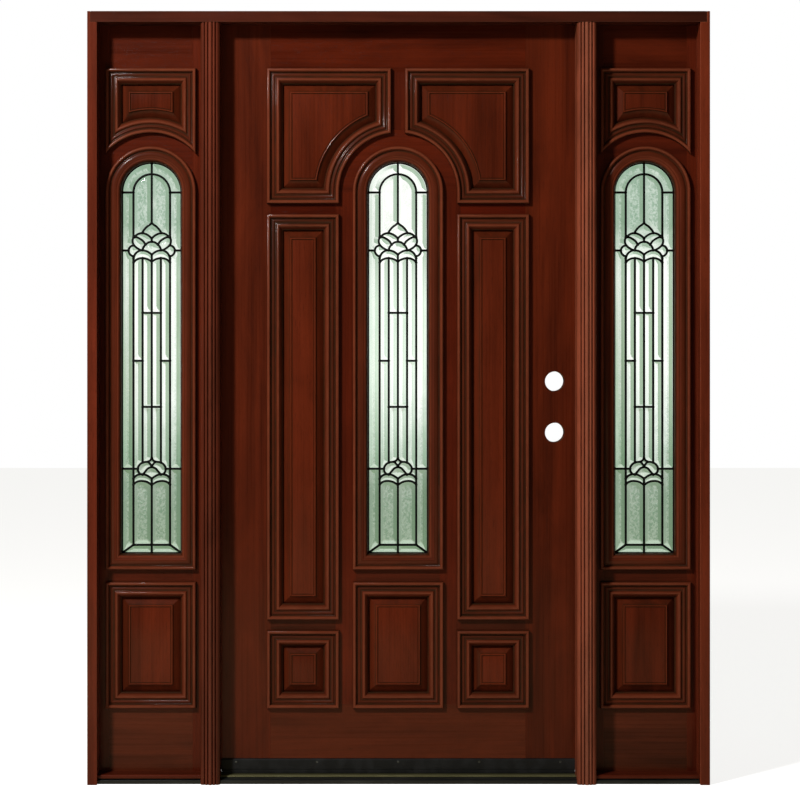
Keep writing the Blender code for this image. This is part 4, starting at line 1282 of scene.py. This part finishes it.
def screw_tree():
    """Sets a screw head on each point, turned to face out of its plate."""
    inputs = {
        "Places": "Geometry",
        "Head": "Object",
        "Radius": "Float",
        "Turn": "Vector",
        "Metal": "Material",
    }
    tree, given = new_group("set_screws", inputs, {"Screws": "Geometry"}, "GeometryNodeTree")
    head = add_node(tree, "GeometryNodeObjectInfo", {"Object": given["Head"]}).outputs["Geometry"]
    own = add_node(tree, "FunctionNodeRandomValue", {"Seed": 7, 3: math.pi}, data_type="FLOAT")
    spin = first_of(tree, "ShaderNodeCombineXYZ", {2: own.outputs[1]})
    placed = {
        "Points": given["Places"],
        "Instance": head,
        "Scale": given["Radius"],
        "Rotation": given["Turn"],
    }
    set_in = first_of(tree, "GeometryNodeInstanceOnPoints", placed)
    spun = first_of(tree, "GeometryNodeRotateInstances", {"Instances": set_in, "Rotation": spin})
    add_node(tree, "NodeGroupOutput", {"Screws": dress_grown(tree, spun, given["Metal"])})
    return tree


screws = screw_tree()
head_shape = screw_head()


def add_screws(name, places, radius, turn, material, body, slot):
    """A row of screws at the given places."""
    mesh = bpy.data.meshes.new(name + "_places")
    mesh.from_pydata(places, [], [])
    settings = {"Head": head_shape, "Radius": radius, "Turn": turn, "Metal": material}
    settle(add_object(name, grow(name, screws, mesh, settings)), body, slot)


sweep = add_piece(
    "door_sweep_strip",
    lengthwise(sweep_section(), -SWEEP_HALF, SWEEP_HALF),
    rubber("sweep_vinyl", (20, 20, 21), 0.55),
)
settle(sweep, "door_leaf", "sweep_vinyl", "door_sweep")
blued_steel = metal("dark_screws", (96, 98, 98), (150, 152, 150), 0.35, 0.9)
places = [(x, LEAF_FRONT - SWEEP_THICK + SCREW_SINK, SCREW_LINE) for x in SWEEP_SCREWS]
turn = (math.pi / 2, 0.0, 0.0)
add_screws("sweep_screws", places, SWEEP_SCREW_RADIUS, turn, blued_steel, "door_leaf", "dark_bronze")


# Sidelights: each a fixed frame in its bay, glued up from two stiles, a top rail, a curved rail
# over the light, a middle and a bottom rail, with the same mouldings, panels and glass. A
# redder nosing with a rounded front is glued on along its foot and lies on the sill.

SIDELIGHT_CENTRE = 0.67275
SIDELIGHT_HALF = 0.13925 - GAP
SEAM = 0.00015

NOSING_FRONT = LEAF_FRONT - 0.052
NOSING_HEIGHT = 0.010
NOSING_ROUND = 0.004

SIDELIGHT_TONES = {
    "nosing": ((56, 18, 8), (102, 38, 20)),
    "stile": ((50, 14, 6), (104, 36, 16)),
    "top_rail": ((48, 12, 4), (100, 34, 14)),
    "arch_rail": ((50, 14, 6), (102, 34, 15)),
    "middle_rail": ((48, 14, 6), (98, 34, 16)),
    "bottom_rail": ((52, 20, 10), (104, 44, 24)),
}


def sidelight_boards(middle):
    """The boards of one sidelight's frame, by name, each with the share of its tones."""
    inner = LIGHT_HALF_WIDTH - LIP
    low, high = SILL_HEIGHT + GAP, HEAD_BOTTOM - GAP
    left, right = middle - SIDELIGHT_HALF, middle + SIDELIGHT_HALF

    def board(x0, x1, z0, z1):
        return block((x0, LEAF_FRONT, z0), (x1, LEAF_BACK, z1))

    top = SILL_HEIGHT + NOSING_HEIGHT
    corner = (NOSING_FRONT + NOSING_ROUND, top - NOSING_ROUND)
    nosing = [(NOSING_FRONT, low), (LEAF_FRONT - SEAM, low), (LEAF_FRONT - SEAM, top)]
    nosing += arc(corner, NOSING_ROUND, math.pi / 2, math.pi, 12)

    rail_left, rail_right = middle - inner + SEAM, middle + inner - SEAM
    return {
        "left_stile": board(left, middle - inner, low, high),
        "right_stile": board(middle + inner, right, low, high),
        "top_rail": board(rail_left, rail_right, PANEL_TOP - LIP, high),
        "arch_rail": arch_board(middle, inner, inner - SEAM, 0.0),
        "middle_rail": board(rail_left, rail_right, CENTRE_PANEL_TOP - LIP, LIGHT_BOTTOM + LIP),
        "bottom_rail": board(rail_left, rail_right, low, PANEL_BOTTOM + LIP),
        "nosing": lengthwise(nosing, left, right),
    }


for side, name in ((-1, "left"), (1, "right")):
    middle = side * SIDELIGHT_CENTRE
    node = name + "_sidelight_frame"
    for index, (board, shape) in enumerate(sidelight_boards(middle).items()):
        if board not in ("arch_rail", "nosing"):
            ease_edges(shape, JOINT_EASE)
        dark, light = SIDELIGHT_TONES["stile" if "stile" in board else board]
        grain = "upright" if "stile" in board else "level"
        shift = (0.47 * index + side, 0.3, 0.61 * index)
        wood = mahogany(f"{name}_sidelight_{board}_wood", dark, light, grain, shift)
        piece = flatten_faces(add_piece(f"{name}_sidelight_{board}", shape, wood))
        settle(piece, "frame", "mahogany", node)
    left, right = middle - LIGHT_HALF_WIDTH, middle + LIGHT_HALF_WIDTH
    outlines = {
        "top": arc_footed(middle),
        "bottom": rectangle(left, right, PANEL_BOTTOM, CENTRE_PANEL_TOP),
        "glass": arched(middle, LIGHT_HALF_WIDTH, LIGHT_BOTTOM),
    }
    for (place, outline), shift in zip(outlines.items(), (3.1, 5.3, 7.9)):
        node = f"{name}_sidelight_{place}_moulding"
        add_moulding(node, outline, "frame", (0.2, 0.1, shift * side), place == "glass")
    for place, across, along in (("top", 1.9, 0.3), ("bottom", 2.7, 0.8)):
        node = f"{name}_sidelight_{place}_panel"
        add_panel(node, outlines[place], "frame", (across * side, 0.4, along))
    # A sidelight's glass: painted shade at its ends, its clear pale middle, and painted shade on its
    # bevels
    ends_shade, pale, shaded_bevel = (138, 166, 145), (228, 238, 228), (116, 142, 112)
    add_leaded_glass(name + "_sidelight_leaded_glass", middle, "frame", ends_shade, pale, shaded_bevel, 1.0)


# Butt hinges: three pairs of brass plates in an aged bronze finish, let in flush and turning on a
# pin behind the door. The frame's half carries the pin and three knuckles, the door's half two.

HINGE_X = -(LEAF_HALF_WIDTH + RABBET) / 2
HINGE_Y = BACK + 0.0065
KNUCKLE_RADIUS = 0.006
KNUCKLES = 5
KNUCKLE_SIDES = 40
PIN_RADIUS = 0.003
SCREW_RADIUS = 0.0036
KNUCKLE_EASE = 0.0006
WEB_DEPTH = 0.002

# Screws of one leaf: heights from its middle as shares of its height, and depths as shares
SCREW_HEIGHTS = (-0.38, -0.13, 0.13, 0.38)
SCREW_DEPTHS = (0.30, 0.68, 0.30, 0.68)

hinge_bronze = metal("aged_hinge_bronze", (132, 100, 66), (186, 150, 104), 0.32, 1.0, "upright")


def add_shape(whole, part):
    """Put one shape into another."""
    mesh = mesh_of(part, "part")
    whole.from_mesh(mesh)
    bpy.data.meshes.remove(mesh)


def hinge_half(plate, centre, knuckles, with_pin):
    """One half of a hinge: its plate, and the knuckles that it carries."""
    whole = bmesh.new()
    bottom, top = centre - HINGE_HEIGHT / 2, centre + HINGE_HEIGHT / 2
    add_shape(whole, block((plate[0], BACK - HINGE_PLATE, bottom), (plate[1], BACK, top)))
    length = HINGE_HEIGHT / KNUCKLES
    for knuckle in knuckles:
        low = bottom + knuckle * length + GAP / 2
        high = low + length - GAP
        loops = []
        for height, ease in (
            (low, KNUCKLE_EASE),
            (low + KNUCKLE_EASE, 0.0),
            (high - KNUCKLE_EASE, 0.0),
            (high, KNUCKLE_EASE),
        ):
            ring = circle((HINGE_X, HINGE_Y), KNUCKLE_RADIUS - ease, KNUCKLE_SIDES)
            loops.append([(x, y, height) for x, y in ring])
        add_shape(whole, loft(loops, closed=False))
        add_shape(whole, block((plate[0], BACK - LIP, low), (plate[1], HINGE_Y - WEB_DEPTH, high)))
    if with_pin:
        pin = circle((HINGE_X, HINGE_Y), PIN_RADIUS, KNUCKLE_SIDES // 2)
        add_shape(whole, standing(pin, bottom + GAP, top - GAP))
    return whole


for index, centre in enumerate(HINGE_CENTRES):
    number = index + 1
    frame_plate = (-RABBET - HINGE_THICK, -RABBET)
    door_plate = (-LEAF_HALF_WIDTH, -LEAF_HALF_WIDTH + HINGE_THICK)
    for node, plate, knuckles, body, face, side in (
        ("frame_hinge_leaf", frame_plate, (0, 2, 4), "frame", -RABBET, 1),
        ("door_hinge_leaf", door_plate, (1, 3), "door_leaf", -LEAF_HALF_WIDTH, -1),
    ):
        half = hinge_half(plate, centre, knuckles, body == "frame")
        name = f"{node}_{number}"
        settle(add_piece(name + "_plate", half, hinge_bronze), body, "hinge_bronze", name)
        places = [
            (face - side * SCREW_SINK, BACK - HINGE_PLATE * depth, centre + height * HINGE_HEIGHT)
            for depth, height in zip(SCREW_DEPTHS, SCREW_HEIGHTS)
        ]
        turn = (0.0, side * math.pi / 2, 0.0)
        add_screws(name + "_screws", places, SCREW_RADIUS, turn, hinge_bronze, body, "hinge_bronze")


# Room: a plain pale floor, one soft studio light high at the left, and a low even fill.
# Through the glass shows a bright day broken by soft green.

KEY_PLACE = Vector((-2.5, -3.3, 3.77))
KEY_AIM = Vector((0.0, 0.0, 1.0))
KEY_SIZE = 0.5
KEY_POWER = 210.0
REFLECTED_FLOOR_WARMTH = 0.9
FLOOR_GLOW = 0.85
DAY_STRENGTH = 1.22

floor_shape = bmesh.new()
bmesh.ops.create_grid(floor_shape, x_segments=2, y_segments=2, size=14.0)
floor_material, floor_tree, floor_shader = new_material("pale_floor")
floor_noise = stretched_noise(floor_tree, object_place(floor_tree), 1.0, 3.0, 4.0)
floor_colour = blend_colour(floor_tree, floor_noise, shade(244, 243, 241), shade(248, 247, 246))
floor_rays = add_node(floor_tree, "ShaderNodeLightPath").outputs
# Seen in the lacquer, the floor turns warm yellow: a painted reflection colour.
reflected_warmth = times(floor_tree, floor_rays["Is Glossy Ray"], REFLECTED_FLOOR_WARMTH)
glow = sum_up(floor_tree, "MAXIMUM", floor_rays["Is Camera Ray"], floor_rays["Is Transmission Ray"])
floor_looks = {
    "Base Color": blend_colour(floor_tree, reflected_warmth, floor_colour, shade(255, 240, 165)),
    "Roughness": 0.7,
    "Emission Strength": times(floor_tree, glow, FLOOR_GLOW),
    "Emission Color": (1.0, 1.0, 1.0, 1.0),
}
feed_node(floor_shader, floor_looks)
floor = add_piece("floor", floor_shape, floor_material)

key_data = bpy.data.lights.new("key", "AREA")
key_data.shape = "DISK"
key_data.size = KEY_SIZE
key_data.energy = KEY_POWER
key = add_object("key", key_data)
key.location = KEY_PLACE
key.rotation_mode = "QUATERNION"
key.rotation_quaternion = (KEY_AIM - KEY_PLACE).to_track_quat("-Z", "Y")

world = bpy.data.worlds.new("studio")
bpy.context.scene.world = world
world.use_nodes = True
sky = world.node_tree
sky.nodes.clear()
looking = add_node(sky, "ShaderNodeTexCoord").outputs["Generated"]
leafy = {"Vector": looking, "Scale": 26.0, "Detail": 3.0, "Roughness": 0.6}
day = spread(sky, first_of(sky, "ShaderNodeTexNoise", leafy), 0.38, 0.60)
through_glass = blend_colour(sky, day, shade(232, 240, 231), shade(255, 255, 253))
rays = add_node(sky, "ShaderNodeLightPath").outputs
fill_colour = blend_colour(sky, rays["Is Transmission Ray"], shade(72, 69, 56), through_glass)
seen = blend_colour(sky, rays["Is Camera Ray"], fill_colour, (1.0, 1.0, 1.0, 1.0))
brightness = spread(sky, rays["Is Transmission Ray"], 0.0, 1.0, 1.0, DAY_STRENGTH)
backdrop = first_of(sky, "ShaderNodeBackground", {"Color": seen, "Strength": brightness})
add_node(sky, "ShaderNodeOutputWorld", {0: backdrop})


# Camera: level, a little left of the middle, as the door was photographed.

CAMERA_DISTANCE = 5.7
CAMERA_LEFT, CAMERA_HEIGHT = -0.12, 1.2
CAMERA_SHIFTS = (0.0575, -0.076)
SENSOR_WIDTH = 36.0
PICTURE_WIDTH = 2.152

bpy.context.scene.view_settings.view_transform = "Standard"
camera_data = bpy.data.cameras.new("camera")
camera_data.sensor_width = SENSOR_WIDTH
camera_data.lens = SENSOR_WIDTH * CAMERA_DISTANCE / PICTURE_WIDTH
camera_data.shift_x, camera_data.shift_y = CAMERA_SHIFTS
camera = add_object("camera", camera_data)
camera.location = (CAMERA_LEFT, FRONT - CAMERA_DISTANCE, CAMERA_HEIGHT)
camera.rotation_euler = (math.pi / 2, 0.0, 0.0)
bpy.context.scene.camera = camera
